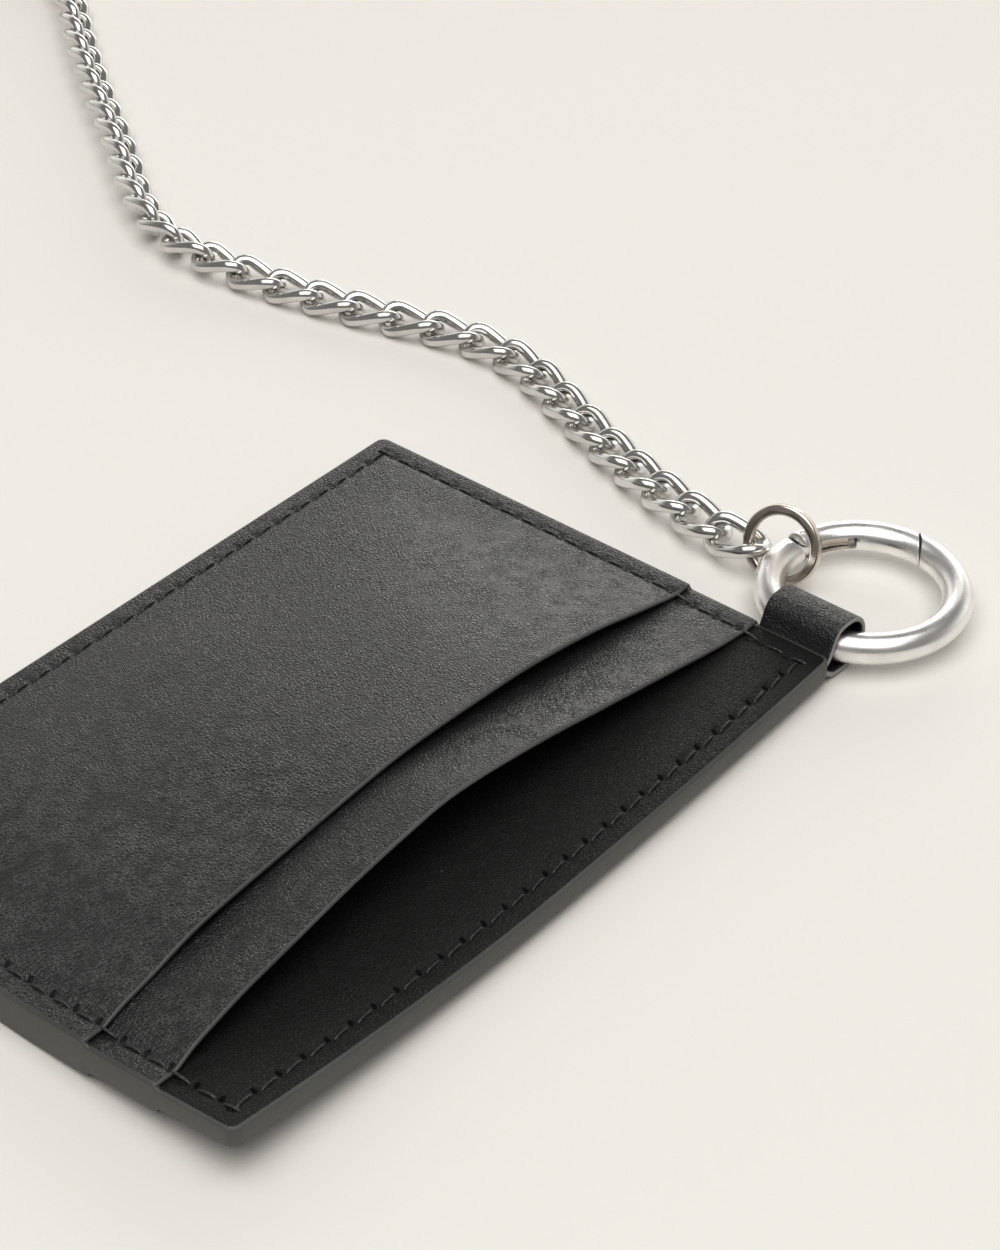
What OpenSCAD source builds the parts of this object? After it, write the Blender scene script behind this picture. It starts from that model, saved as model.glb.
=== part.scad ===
// Chain wallet: a flat four-slot card holder with a sewn tab, a spring-gate hoop, a jump ring,
// a long curb chain and a swivel clasp. Millimetres, +Z up.
// Origin: the centre of the underside of the leather holder, which lies flat.
// +X runs to the holder's right and +Y runs to its top edge, where the slots open.

/* [Leather holder] */
// Width of the holder
holder_w = 100; // [96:1:110]
// Height of the holder, from its bottom seam to its top edge
holder_h = 70; // [68:1:80]
// Corner radius of the leather panels
corner_r = 1.5; // [0.5:0.5:4]
// Thickness of each base panel
base_t = 0.8; // [0.6:0.1:1.2]
// Thickness of each pocket panel
pocket_t = 0.6; // [0.5:0.1:0.8]
// Thickness of the stiffener between the base panels
core_t = 1.2; // [1.2:0.1:1.6]
// Distance from the top edge to the mouth of the inner pockets
inner_drop = 10.4; // [8:0.2:14]
// Distance from the top edge to the mouth of the outer pockets
outer_drop = 20.4; // [18:0.2:26]
// How far the front inner pocket bows open at its mouth
inner_bow = 6.6; // [4:0.2:8]
// How far the front outer pocket bows open at its mouth
outer_bow = 5.8; // [5:0.2:7]
// Width of the sewn seam along the sides and the bottom
seam_w = 3.6; // [3:0.2:5]

/* [Stitching] */
// Distance from the edge of the leather to the stitches
stitch_inset = 2.4; // [2:0.1:3.2]
// Distance from one stitch to the next
stitch_pitch = 3.4; // [2.6:0.1:4]
// Thickness of the thread
thread_d = 0.5; // [0.3:0.1:0.6]

/* [Tab] */
// Width of the tab along the side of the holder
tab_w = 10; // [8:0.5:12]
// Thickness of the tab's leather
tab_t = 0.6; // [0.5:0.1:0.6]
// Clear height inside the tab's loop
loop_h = 5.6; // [5.2:0.1:5.6]

/* [Hoop] */
// Radius of the centre line of the hoop's wire
hoop_r = 11.4; // [11:0.1:12]
// Diameter of the hoop's wire
hoop_d = 3.8; // [3.4:0.1:3.8]
// Diameter of the gate's hinge pin
gate_pin_d = 1.0; // [0.8:0.1:1.2]
// Height of the middle of the hoop's wire above the table
hoop_z = 3.6; // [3.5:0.1:3.6]

/* [Jump ring] */
// Radius of the centre line of the jump ring
jump_r = 4.5; // [4.4:0.1:4.7]
// Width of the jump ring's square section
jump_s = 1.3; // [1.1:0.1:1.3]

/* [Chain] */
// Distance from one link to the next
link_pitch = 6.3; // [6.3:0.1:6.4]
// Thickness of the chain wire
link_d = 1.7; // [1.5:0.1:1.7]
// Outer width of a link
link_w = 6; // [5.8:0.1:6.2]
// Free play between two pulled links
link_play = 0.3; // [0.2:0.05:0.4]
// Twist from one end of a link to the other
link_twist = -90; // [-92:2:-84]
// Number of link pairs
pair_count = 28; // [28:1:28]

/* [Clasp] */
// Thickness of the clasp's rod
clasp_d = 3.2; // [2.8:0.1:3.4]
// Half the width of the clasp's hook, to the middle of the rod
clasp_r = 4.8; // [4.4:0.1:5.2]
// Length of the straight side of the clasp's hook
clasp_l = 13; // [12:0.5:16]

/* [Hidden] */
// Heights of the leather layers, from the table up
rear_inner_z = pocket_t;
rear_base_z = 2 * pocket_t;
core_z = rear_base_z + base_t;
front_base_z = core_z + core_t;
front_inner_z = front_base_z + base_t;
front_outer_z = front_inner_z + pocket_t;
side_x = -holder_w / 2;
top_y = holder_h / 2;
bottom_y = -holder_h / 2;
inner_mouth_y = top_y - inner_drop;
outer_mouth_y = top_y - outer_drop;
// The core stops short of the stitches, and short of the tab's sewn ends
core_inset = 1;
tab_sewn = 6;
tab_gap = 0.4;
// The tab runs from the top corner down the side, and wraps the hoop
tab_y = top_y - tab_w / 2 - 0.2;
loop_mid_z = 0.3 + tab_t + loop_h / 2;
loop_end_x = side_x - 4.2;
loop_neck_x = side_x - 1.3;
// The hoop's wire crosses the tab here; the hoop turns about this line
hoop_axis_x = side_x - 3;
hoop_c = [hoop_axis_x - hoop_r + 0.4, tab_y + 0.4];
gate_pin_a = 255;
gate_tip_a = 178.5;
gate_slot_a = 219;
gate_gap = 0.35;
gate_reach = 2 * hoop_r * sin((gate_pin_a - gate_tip_a) / 2);
tongue_t = 1.3;
tongue_w = 2.6;
knuckle_r = 2.3;
knuckle_end_a = 3.6;
slot_t = 1.7;
// The jump ring hangs round the hoop's wire and leans towards the holder
jump_c = [-63.6, 18.4, 5.1];
jump_lean = 71;
jump_turn = 8;
jump_split = 0.15;
// Places where the chain's course bends: link number and heading in degrees
chain_start = [-62.7, 15.1, 3.7];
heading_at = [
    [0, -94], [1, -104], [2, -108], [4, -111], [6, -113], [7, -112], [8, -103], [9, -90],
    [10, -79], [11, -74], [13, -78], [15, -82], [16, -85], [17, -93], [18, -104], [19, -118],
    [21, -126], [24, -123], [30, -128], [33, -112], [43, 26], [46, 46], [56, 46]
];
// How far the links are rolled out of the flat: link number and degrees
roll_at = [[0, -20], [2, -6], [4, 0], [15, 0], [19, 50], [54, 50], [55, 45]];
// Height of the chain's middle: joint number and millimetres
height_at = [
    [0, 3.7], [1, 3.1], [2, 2.9], [3, 2.5], [4, 2.1], [5, 1.9], [15, 1.9], [17, 2.6],
    [19, 3], [54, 3], [56, 3.3]
];
link_a = (link_pitch + link_d + link_play) / 2;
link_b = (link_w - link_d) / 2;
link_straight = 2 * (link_a - link_b);
link_arc = PI * link_b;
link_sides = 6;
link_rings = 20;
link_count = 2 * pair_count;
// The clasp's own sizes, along its length from the chain's last link
end_ring_r = 2.8;
end_ring_d = 1.1;
eye_r = 3.3;
eye_d = 1.8;
post_d = 2.2;
post_bore = 2.5;
block_l = 6;
block_t = 4.4;
lever_pin_d = 1.2;
lever_t = 1.5;
lever_slot = 1.8;
lever_x = 3.8;
tip_l = 3.4;
end_ring_x = 2.1;
end_ring_z = 0.1;
block_x = 11;
clasp_drop = 0.1;
steel = "silver";
leather = [0.09, 0.09, 0.09];

// ---- Leather ---------------------------------------------------------------------------

// A flat panel with rounded corners, from y0 to y1 at height z
module panel(y0, y1, z, t, inset = 0) {
    x1 = holder_w / 2 - inset;
    translate([0, 0, z])
    linear_extrude(t)
    union() {
        translate([-x1 + corner_r, y0]) square([2 * (x1 - corner_r), y1 - y0]);
        translate([-x1, y0 + corner_r]) square([2 * x1, y1 - y0 - 2 * corner_r]);
        for (x = [-x1 + corner_r, x1 - corner_r], y = [y0 + corner_r, y1 - corner_r])
            translate([x, y]) circle(corner_r, $fn = 48);
    }
}

// How far a bowed pocket stands off the panel below it
function bow(x, y, mouth_y, rise) =
    let (
        half = holder_w / 2 - seam_w,
        foot = bottom_y + seam_w,
        across = abs(x) < half ? pow(cos(90 * x / half), 1.6) : 0,
        along = y > foot ? pow((y - foot) / (mouth_y - foot), 1.6) : 0
    )
    rise * across * along;

// A pocket panel sewn flat along its sides and bottom, bowed open at its mouth
module bowed_panel(mouth_y, z, rise) {
    half = holder_w / 2 - seam_w;
    foot = bottom_y + seam_w;
    xs = [side_x, for (i = [0:14]) -half + i * half / 7, -side_x];
    // Both pockets share these rows, so that they never cross
    ys = [
        bottom_y,
        for (j = [0:7]) foot + j * (outer_mouth_y - foot) / 7,
        if (mouth_y > outer_mouth_y) each [(mouth_y + outer_mouth_y) / 2, mouth_y]
    ];
    nx = len(xs);
    ny = len(ys);
    layer = nx * ny;
    points = [
        for (t = [0, pocket_t], y = ys, x = xs) [x, y, z + t + bow(x, y, mouth_y, rise)]
    ];
    faces = [
        for (j = [0:ny - 2], i = [0:nx - 2])
            let (a = j * nx + i)
            each [
                [a, a + 1, a + nx + 1], [a, a + nx + 1, a + nx],
                [layer + a, layer + a + nx + 1, layer + a + 1],
                [layer + a, layer + a + nx, layer + a + nx + 1]
            ],
        for (i = [0:nx - 2])
            let (a = i, b = (ny - 1) * nx + i)
            each [
                [a, layer + a, layer + a + 1], [a, layer + a + 1, a + 1],
                [b, b + 1, layer + b + 1], [b, layer + b + 1, layer + b]
            ],
        for (j = [0:ny - 2])
            let (a = j * nx, b = j * nx + nx - 1)
            each [
                [a, a + nx, layer + a + nx], [a, layer + a + nx, layer + a],
                [b, layer + b, layer + b + nx], [b, layer + b + nx, b + nx]
            ]
    ];
    polyhedron(points, faces, convexity = 4);
}

module front_outer_pocket() {
    color(leather) bowed_panel(outer_mouth_y, front_outer_z, outer_bow);
}

module front_inner_pocket() {
    color(leather) bowed_panel(inner_mouth_y, front_inner_z, inner_bow);
}

module front_base_panel() {
    color(leather) panel(bottom_y, top_y, front_base_z, base_t);
}

module core_stiffener() {
    color("dimgray")
    difference() {
        panel(bottom_y + core_inset, top_y - core_inset, core_z, core_t, core_inset);
        translate([side_x - 1, tab_y - tab_w / 2 - tab_gap, core_z - 1])
            cube([tab_sewn + tab_gap + 1, tab_w + 2, core_t + 2]);
    }
}

module rear_base_panel() {
    color(leather) panel(bottom_y, top_y, rear_base_z, base_t);
}

module rear_inner_pocket() {
    color(leather) panel(bottom_y, inner_mouth_y, rear_inner_z, pocket_t);
}

module rear_outer_pocket() {
    groove_w = thread_d + 0.3;
    groove_d = thread_d / 2 + 0.1;
    x = holder_w / 2 - stitch_inset;
    y = bottom_y + stitch_inset;
    color(leather)
    difference() {
        panel(bottom_y, outer_mouth_y, 0, pocket_t);
        for (side = [-1, 1])
            translate([side * x - groove_w / 2, y - groove_w / 2, -1])
                cube([groove_w, outer_mouth_y - y + groove_w, groove_d + 1]);
        translate([-x, y - groove_w / 2, -1]) cube([2 * x, groove_w, groove_d + 1]);
    }
}

// ---- Stitching -------------------------------------------------------------------------

// One run of stitches from a to b, lying on a face at height z
module stitch_run(a, b, z, t) {
    run = norm(b - a);
    count = floor(run / stitch_pitch);
    pitch = run / count;
    turn = atan2(b[1] - a[1], b[0] - a[0]);
    for (i = [0:count - 1])
        translate([a[0], a[1], z])
        rotate([0, 0, turn])
        translate([(i + 0.15) * pitch, -thread_d / 2, 0])
            cube([0.7 * pitch, thread_d, t]);
}

// Stitches round the holder, stepping with the pocket layers; up is 1 in front and -1 behind.
// Behind, the outer pocket's stitches lie in a groove, so the holder rests flat.
module stitching(base_z, up) {
    t = thread_d / 2;
    x = holder_w / 2 - stitch_inset;
    y0 = bottom_y + stitch_inset;
    y3 = top_y - stitch_inset;
    low = up > 0 ? 0 : -t;
    step = up * pocket_t;
    for (side = [-1, 1]) {
        stitch_run([side * x, y0], [side * x, outer_mouth_y - 0.4], base_z + 2 * step, t);
        stitch_run([side * x, outer_mouth_y + 0.4], [side * x, inner_mouth_y - 0.4],
                   base_z + step + low, t);
        stitch_run([side * x, inner_mouth_y + 0.4], [side * x, y3], base_z + low, t);
    }
    stitch_run([-x, y3], [x, y3], base_z + low, t);
    stitch_run([-x, y0], [x, y0], base_z + 2 * step, t);
}

module front_stitching() {
    color("black") stitching(front_inner_z, 1);
}

module rear_stitching() {
    color("black") stitching(rear_base_z, -1);
}

// ---- Tab -------------------------------------------------------------------------------

// Outline of the tab from the side, grown outwards by g: sewn ends, neck and round loop
function tab_outline(g) =
    let (
        r = loop_h / 2 + g,
        mid = core_z + core_t / 2,
        half = core_t / 2 - tab_t + g
    )
    [
        [side_x + tab_sewn, mid + half],
        [side_x - 0.3 + g / 2, mid + half],
        [loop_neck_x + 0.9 * g, loop_mid_z + r],
        for (i = [0:16])
            let (a = 90 + i * 180 / 16)
            [loop_end_x + r * cos(a), loop_mid_z + r * sin(a)],
        [loop_neck_x + 0.9 * g, loop_mid_z - r],
        [side_x - 0.3 + g / 2, mid - half],
        [side_x + tab_sewn, mid - half]
    ];

module hoop_tab() {
    color(leather)
    translate([0, tab_y + tab_w / 2, 0])
    rotate([90, 0, 0])
    linear_extrude(tab_w)
    difference() {
        polygon(tab_outline(tab_t));
        polygon(tab_outline(0.02));
    }
}

// ---- Hoop ------------------------------------------------------------------------------

// Everything on the hoop is drawn about the hoop's own centre
module on_hoop() {
    translate([hoop_c[0], hoop_c[1], hoop_z]) children();
}

// A piece of the hoop's round wire from angle a0 to a1
module wire_arc(a0, a1) {
    rotate([0, 0, a0])
    rotate_extrude(angle = a1 - a0, $fn = 96)
    translate([hoop_r, 0]) circle(d = hoop_d, $fn = 40);
}

// Places its children at the gate's hinge pin: x along the wire, away from the gate
module at_gate_pin() {
    rotate([0, 0, gate_pin_a]) translate([hoop_r, 0, 0]) rotate([0, 0, 90]) children();
}

// The wire stops at the gate's tip, where its end is hollowed about the hinge pin so that
// the gate swings inwards past it
module hoop_body() {
    color(steel)
    on_hoop()
    difference() {
        union() {
            difference() {
                wire_arc(gate_pin_a, gate_tip_a + 380);
                intersection() {
                    at_gate_pin()
                        cylinder(h = 3 * hoop_d, r = gate_reach + gate_gap, center = true, $fn = 128);
                    translate([-2 * hoop_r, -hoop_r, -hoop_d])
                        cube([1.5 * hoop_r, 2 * hoop_r, 2 * hoop_d]);
                }
                at_gate_pin() cylinder(h = 3 * hoop_d, r = knuckle_r, center = true, $fn = 64);
            }
            at_gate_pin() {
                cylinder(h = tongue_t, d = tongue_w, center = true, $fn = 48);
                translate([0, -tongue_w / 2 + 0.1, -tongue_t / 2])
                    cube([knuckle_r + 0.8, tongue_w - 0.2, tongue_t]);
            }
        }
        at_gate_pin() cylinder(h = 3 * hoop_d, d = gate_pin_d + 0.1, center = true, $fn = 32);
    }
}

module gate_arm() {
    color(steel)
    on_hoop()
    difference() {
        intersection() {
            wire_arc(gate_tip_a - 15, gate_pin_a + knuckle_end_a);
            at_gate_pin() cylinder(h = 3 * hoop_d, r = gate_reach, center = true, $fn = 128);
        }
        // Slot for the tongue, open inwards so that the gate can swing
        at_gate_pin() {
            cylinder(h = slot_t, r = tongue_w / 2 + 0.25, center = true, $fn = 48);
            translate([-tongue_w / 2 - 0.25, -tongue_w / 2 - 0.25, -slot_t / 2])
                cube([2 * tongue_w, 2 * hoop_d, slot_t]);
            cylinder(h = 3 * hoop_d, d = gate_pin_d, center = true, $fn = 32);
        }
        // Groove along the inside for the spring
        rotate([0, 0, gate_slot_a])
        rotate_extrude(angle = gate_pin_a - gate_slot_a, $fn = 96)
        translate([hoop_r - hoop_d, -slot_t / 2]) square([hoop_d + 0.4, slot_t]);
    }
}

module gate_pin() {
    color(steel)
    on_hoop() at_gate_pin() cylinder(h = hoop_d - 0.3, d = gate_pin_d, center = true, $fn = 32);
}

// The leaf spring that holds the gate shut lies in the gate's groove
module gate_spring() {
    color("gainsboro")
    on_hoop()
    rotate([0, 0, gate_slot_a + 5])
    rotate_extrude(angle = gate_pin_a - gate_slot_a - 14, $fn = 96)
    translate([hoop_r - 1, -tongue_t / 2]) square([0.7, tongue_t]);
}

// ---- Jump ring -------------------------------------------------------------------------

module jump_ring() {
    color("tan")
    translate(jump_c)
    rotate([0, jump_lean, jump_turn])
    difference() {
        split_ring(jump_r, jump_s);
        translate([0, 0, -jump_s]) rotate([0, 0, 20]) cube([2 * jump_r, jump_split, 2 * jump_s]);
    }
}

// A ring with a square section whose corners are broken
module split_ring(r, s) {
    h = s / 2;
    c = s / 6;
    rotate_extrude($fn = 96)
    translate([r, 0])
    polygon([
        [-h, -h + c], [-h + c, -h], [h - c, -h], [h, -h + c],
        [h, h - c], [h - c, h], [-h + c, h], [-h, h - c]
    ]);
}

// ---- Chain -----------------------------------------------------------------------------

function heading(k) = lookup(k, heading_at);
function roll(k) = lookup(k, roll_at);
function height(k) = lookup(k, height_at);
function slope(k) = asin((height(k + 1) - height(k)) / link_pitch);

// Joint k lies between link k - 1 and link k
function joint_point(k) =
    k == 0
        ? chain_start
        : joint_point(k - 1) + link_pitch * [
            cos(slope(k - 1)) * cos(heading(k - 1)),
            cos(slope(k - 1)) * sin(heading(k - 1)),
            sin(slope(k - 1))
        ];

// Middle line of a link: a long oval with round ends, s millimetres along it
function oval(s) =
    s < link_straight
        ? [s - link_straight / 2, -link_b]
        : s < link_straight + link_arc
        ? let (a = 180 * (s - link_straight) / link_arc)
          [link_straight / 2 + link_b * sin(a), -link_b * cos(a)]
        : s < 2 * link_straight + link_arc
        ? [link_straight / 2 - (s - link_straight - link_arc), link_b]
        : let (a = 180 * (s - 2 * link_straight - link_arc) / link_arc)
          [-link_straight / 2 - link_b * sin(a), link_b * cos(a)];

// The oval twisted about the chain's length, which is what makes it a curb link
function curb(s) =
    let (p = oval(s), a = link_twist / 2 * p[0] / link_a)
    [p[0], p[1] * cos(a), p[1] * sin(a)];

function unit(v) = v / norm(v);

// One ring of points round the wire at ring i
function wire_ring(i) =
    let (
        length = 2 * (link_straight + link_arc),
        gap = length / link_rings,
        here = curb(i * gap),
        ahead = curb(((i + 1) % link_rings) * gap),
        behind = curb(((i + link_rings - 1) % link_rings) * gap),
        along = unit(ahead - behind),
        out = [0.4 * here[0], here[1], here[2]],
        u = unit(out - (out * along) * along),
        v = cross(along, u)
    )
    [
        for (j = [0:link_sides - 1])
            let (a = 360 * (j + 0.5) / link_sides)
            here + link_d / 2 * (cos(a) * u + sin(a) * v)
    ];

module curb_link() {
    points = [for (i = [0:link_rings - 1]) each wire_ring(i)];
    faces = [
        for (i = [0:link_rings - 1], j = [0:link_sides - 1])
            let (
                k = (i + 1) % link_rings,
                m = (j + 1) % link_sides,
                a = i * link_sides,
                b = k * link_sides
            )
            each [[a + j, b + m, a + m], [a + j, b + j, b + m]]
    ];
    polyhedron(points, faces, convexity = 6);
}

// Link k in its place along the chain
module placed_link(k) {
    translate((joint_point(k) + joint_point(k + 1)) / 2)
    rotate([roll(k), -slope(k), heading(k)])
        curb_link();
}

// Pair n of links, counted from the jump ring
module link_pair(n) {
    color(steel)
    for (k = [2 * n - 2, 2 * n - 1]) placed_link(k);
}

module links_01() link_pair(1);
module links_02() link_pair(2);
module links_03() link_pair(3);
module links_04() link_pair(4);
module links_05() link_pair(5);
module links_06() link_pair(6);
module links_07() link_pair(7);
module links_08() link_pair(8);
module links_09() link_pair(9);
module links_10() link_pair(10);
module links_11() link_pair(11);
module links_12() link_pair(12);
module links_13() link_pair(13);
module links_14() link_pair(14);
module links_15() link_pair(15);
module links_16() link_pair(16);
module links_17() link_pair(17);
module links_18() link_pair(18);
module links_19() link_pair(19);
module links_20() link_pair(20);
module links_21() link_pair(21);
module links_22() link_pair(22);
module links_23() link_pair(23);
module links_24() link_pair(24);
module links_25() link_pair(25);
module links_26() link_pair(26);
module links_27() link_pair(27);
module links_28() link_pair(28);

// ---- Clasp -----------------------------------------------------------------------------

// Everything on the clasp is drawn along +X from the chain's last joint, at the chain's height
module at_chain_end() {
    translate(joint_point(link_count)) rotate([0, 0, heading(link_count)]) children();
}

// The end ring stands on edge through the last link
module end_ring() {
    color(steel)
    at_chain_end()
    translate([end_ring_x, 0, end_ring_z])
    rotate([90, 0, 0])
    difference() {
        split_ring(end_ring_r, end_ring_d);
        translate([0, 0, -end_ring_d])
            rotate([0, 0, 60])
            cube([2 * end_ring_r, jump_split, 2 * end_ring_d]);
    }
}

// Places its children at the clasp's block, with +X towards the hook
module on_clasp() {
    at_chain_end() translate([block_x, 0, -clasp_drop]) children();
}

module clasp_eye() {
    color(steel)
    on_clasp() {
        // Half-round eye on a post whose head turns inside the block
        translate([-eye_r - eye_d / 2 - 0.3, 0, 0])
        difference() {
            rotate_extrude($fn = 64) translate([eye_r, 0]) circle(d = eye_d, $fn = 32);
            translate([eye_r + eye_d / 2 - 0.4, -5, -5]) cube(10);
        }
        rotate([0, 90, 0]) {
            translate([0, 0, -0.75]) cylinder(h = block_l / 2 + 0.2, d = post_d, $fn = 32);
            translate([0, 0, block_l / 2 - 0.75]) cylinder(h = 1, d = post_d + 1.2, $fn = 32);
        }
    }
}

// The clasp's block, with the hook's rod growing out of one side
module clasp_body() {
    color(steel)
    on_clasp()
    difference() {
        union() {
            translate([block_l / 2, 0, 0])
            intersection() {
                cube([block_l, 2 * clasp_r + clasp_d, block_t], center = true);
                translate([1, 0, 0]) cylinder(h = block_t, r = clasp_r + 1.8, center = true, $fn = 96);
            }
            // Straight side, round end and tip of the hook
            translate([block_l - 1, -clasp_r, 0])
            rotate([0, 90, 0])
                cylinder(h = clasp_l + 1, d = clasp_d, $fn = 40);
            translate([block_l + clasp_l, 0, 0])
            rotate([0, 0, -90])
            rotate_extrude(angle = 180, $fn = 96)
            translate([clasp_r, 0]) circle(d = clasp_d, $fn = 40);
            translate([block_l + clasp_l - tip_l, clasp_r, 0])
            rotate([0, 90, 0])
                cylinder(h = tip_l, d = clasp_d, $fn = 40);
        }
        // Way for the swivel's post, and room for its head
        rotate([0, 90, 0]) {
            translate([0, 0, -1]) cylinder(h = block_l, d = post_bore, $fn = 32);
            translate([0, 0, block_l / 2 - 1.05]) cylinder(h = 1.6, d = post_d + 1.6, $fn = 32);
        }
        translate([block_l / 2 - 1.05 + 1.6, -1.9, -1.9]) cube([block_l, 3.8, 3.8]);
        // Fork for the lever, and the bore for its pin
        translate([1.6, clasp_r - 2.6, -lever_slot / 2]) cube([block_l, 6.6, lever_slot]);
        translate([lever_x, clasp_r - 0.4, 0])
            cylinder(h = 2 * block_t, d = lever_pin_d, center = true, $fn = 32);
        // Step in the tip that the lever shuts against
        translate([block_l + clasp_l - tip_l - 1, clasp_r - clasp_d, -lever_slot / 2])
            cube([2.6, clasp_d + 0.8, lever_slot]);
    }
}

// The lever shuts the hook: a flat tongue at the pin, a round bar and a thumb piece
module clasp_lever() {
    color(steel)
    on_clasp()
    difference() {
        union() {
            translate([lever_x, clasp_r - 0.4, 0])
                cylinder(h = lever_t, r = 1.5, center = true, $fn = 48);
            translate([lever_x, clasp_r - 1.4, -lever_t / 2])
                cube([block_l + clasp_l - tip_l + 1.2 - lever_x, 2, lever_t]);
            translate([block_l + 1.4, clasp_r - 0.4, 0])
            rotate([0, 90, 0])
                cylinder(h = clasp_l - tip_l - 2, d = clasp_d - 0.4, $fn = 40);
            translate([block_l + 3.4, clasp_r + 1.4, 0])
                cylinder(h = clasp_d - 0.4, r = 1.7, center = true, $fn = 40);
        }
        translate([lever_x, clasp_r - 0.4, 0])
            cylinder(h = 2 * block_t, d = lever_pin_d + 0.1, center = true, $fn = 32);
    }
}

module clasp_lever_pin() {
    color(steel)
    on_clasp()
    translate([lever_x, clasp_r - 0.4, 0])
        cylinder(h = block_t - 0.3, d = lever_pin_d, center = true, $fn = 32);
}

// A leaf spring behind the lever's knuckle
module clasp_spring() {
    color("gainsboro")
    on_clasp()
    translate([1.7, clasp_r - 1.9, -lever_t / 2 + 0.1])
        cube([0.4, 2.6, lever_t - 0.2]);
}

// ---- Nodes ------------------------------------------------------------------------------

front_outer_pocket();
front_inner_pocket();
front_base_panel();
core_stiffener();
rear_base_panel();
rear_inner_pocket();
rear_outer_pocket();
front_stitching();
rear_stitching();
hoop_tab();
hoop_body();
gate_arm();
gate_pin();
gate_spring();
jump_ring();
end_ring();
clasp_eye();
clasp_body();
clasp_lever();
clasp_lever_pin();
clasp_spring();
links_01();
links_02();
links_03();
links_04();
links_05();
links_06();
links_07();
links_08();
links_09();
links_10();
links_11();
links_12();
links_13();
links_14();
links_15();
links_16();
links_17();
links_18();
links_19();
links_20();
links_21();
links_22();
links_23();
links_24();
links_25();
links_26();
links_27();
links_28();
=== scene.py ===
"""Looks of the chain wallet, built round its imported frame.

The leather holder, its tab, the stitches, the chain and the rings are made here as detailed
meshes that ride on the frame's bodies. Lengths in the classes are millimetres, and the meshes
are written in metres.
"""

import logging
import math
from dataclasses import dataclass
from enum import Enum
from typing import Callable, Sequence

import bmesh
import bpy
import numpy as np
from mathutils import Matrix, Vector


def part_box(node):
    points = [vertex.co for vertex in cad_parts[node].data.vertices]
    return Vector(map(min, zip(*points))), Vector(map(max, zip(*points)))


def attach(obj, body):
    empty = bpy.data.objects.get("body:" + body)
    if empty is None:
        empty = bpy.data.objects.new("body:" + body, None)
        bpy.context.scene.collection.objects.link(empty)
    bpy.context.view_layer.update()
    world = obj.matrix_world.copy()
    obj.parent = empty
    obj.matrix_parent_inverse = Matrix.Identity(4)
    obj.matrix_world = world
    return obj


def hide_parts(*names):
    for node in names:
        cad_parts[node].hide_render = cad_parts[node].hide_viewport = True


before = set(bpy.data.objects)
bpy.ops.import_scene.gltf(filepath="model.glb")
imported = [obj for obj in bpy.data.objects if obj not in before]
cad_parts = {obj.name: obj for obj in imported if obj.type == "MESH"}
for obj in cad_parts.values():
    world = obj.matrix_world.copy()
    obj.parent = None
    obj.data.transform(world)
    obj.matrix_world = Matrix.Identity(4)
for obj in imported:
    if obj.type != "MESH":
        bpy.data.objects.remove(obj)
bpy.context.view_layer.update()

MM = 0.001

Grid = np.ndarray
Colour = tuple[float, float, float, float]
Point = tuple[float, float, float]

# Attribute with each leather point's place on the flat holder, in metres.
FLAT_PLACE = "flat_place"
# Radius of a needle hole where it is fully dark with painted shade, and where it has faded out, in
# millimetres.
NEEDLE_HOLE = (0.16, 0.38)
# Depth of a needle hole in the relief, in heights of the grain.
HOLE_DEPTH = 4.0
# Colour of the shade painted into the needle holes.
HOLE_SHADE_COLOUR: Colour = (0.0008, 0.0008, 0.0008, 1.0)
LINT_COLOUR: Colour = (0.35, 0.34, 0.32, 1.0)
# Section of the coat of paint on the holder's edge, from its inner top to its inner bottom:
# how far each point stands out past the plies, and how far it is over or under them.
PAINT_OUT = (-0.60, -0.35, -0.06, 0.08, 0.15, 0.18, 0.15, 0.08, -0.06, -0.35, -0.60)
PAINT_UP = (-0.35, -0.18, -0.12, -0.22, -0.45, 0.0, 0.45, 0.22, 0.12, 0.18, 0.35)
# Slow swells of the front: place across, place up, radius and height of each.
SWELLS = (
    (-26.0, -6.0, 9.0, 0.5), (-8.0, -14.0, 10.0, 0.35), (14.0, -9.0, 9.0, 0.55),
    (30.0, -20.0, 9.0, 0.4), (-34.0, -22.0, 8.0, 0.4), (33.0, -2.0, 8.0, 0.35),
    (3.0, -26.0, 8.0, 0.3), (-14.0, 3.0, 7.0, 0.3),
)
log = logging.getLogger("chain_wallet")


class Slot(Enum):
    """The record's material slots."""

    LEATHER = "black_leather"
    THREAD = "black_thread"
    BOARD = "core_board"
    SATIN = "satin_steel"
    POLISHED = "polished_steel"
    NICKEL = "warm_nickel"
    SPRING = "spring_steel"


class Side(Enum):
    """The two faces of the holder."""

    FRONT = "Front"
    REAR = "Rear"


# ---- Small helpers -----------------------------------------------------------------------


def box_mm(node: str) -> tuple[Vector, Vector]:
    """Lowest and highest corner of a frame node, in millimetres."""
    low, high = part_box(node)
    return low / MM, high / MM


def step(low: float, high: float, value: Grid) -> Grid:
    """Smooth change from 0 at low to 1 at high."""
    t = np.clip((value - low) / (high - low), 0.0, 1.0)
    return t * t * (3.0 - 2.0 * t)


def soft_max(a: Grid, b: Grid, blend: float) -> Grid:
    """The larger of two heights, with the crease between them rounded.

    Args:
        a: First heights.
        b: Second heights.
        blend: How far apart the two are where the rounding fades.

    Returns:
        Heights that are never below either.
    """
    return 0.5 * (a + b + np.sqrt((a - b) ** 2 + blend**2))


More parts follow.
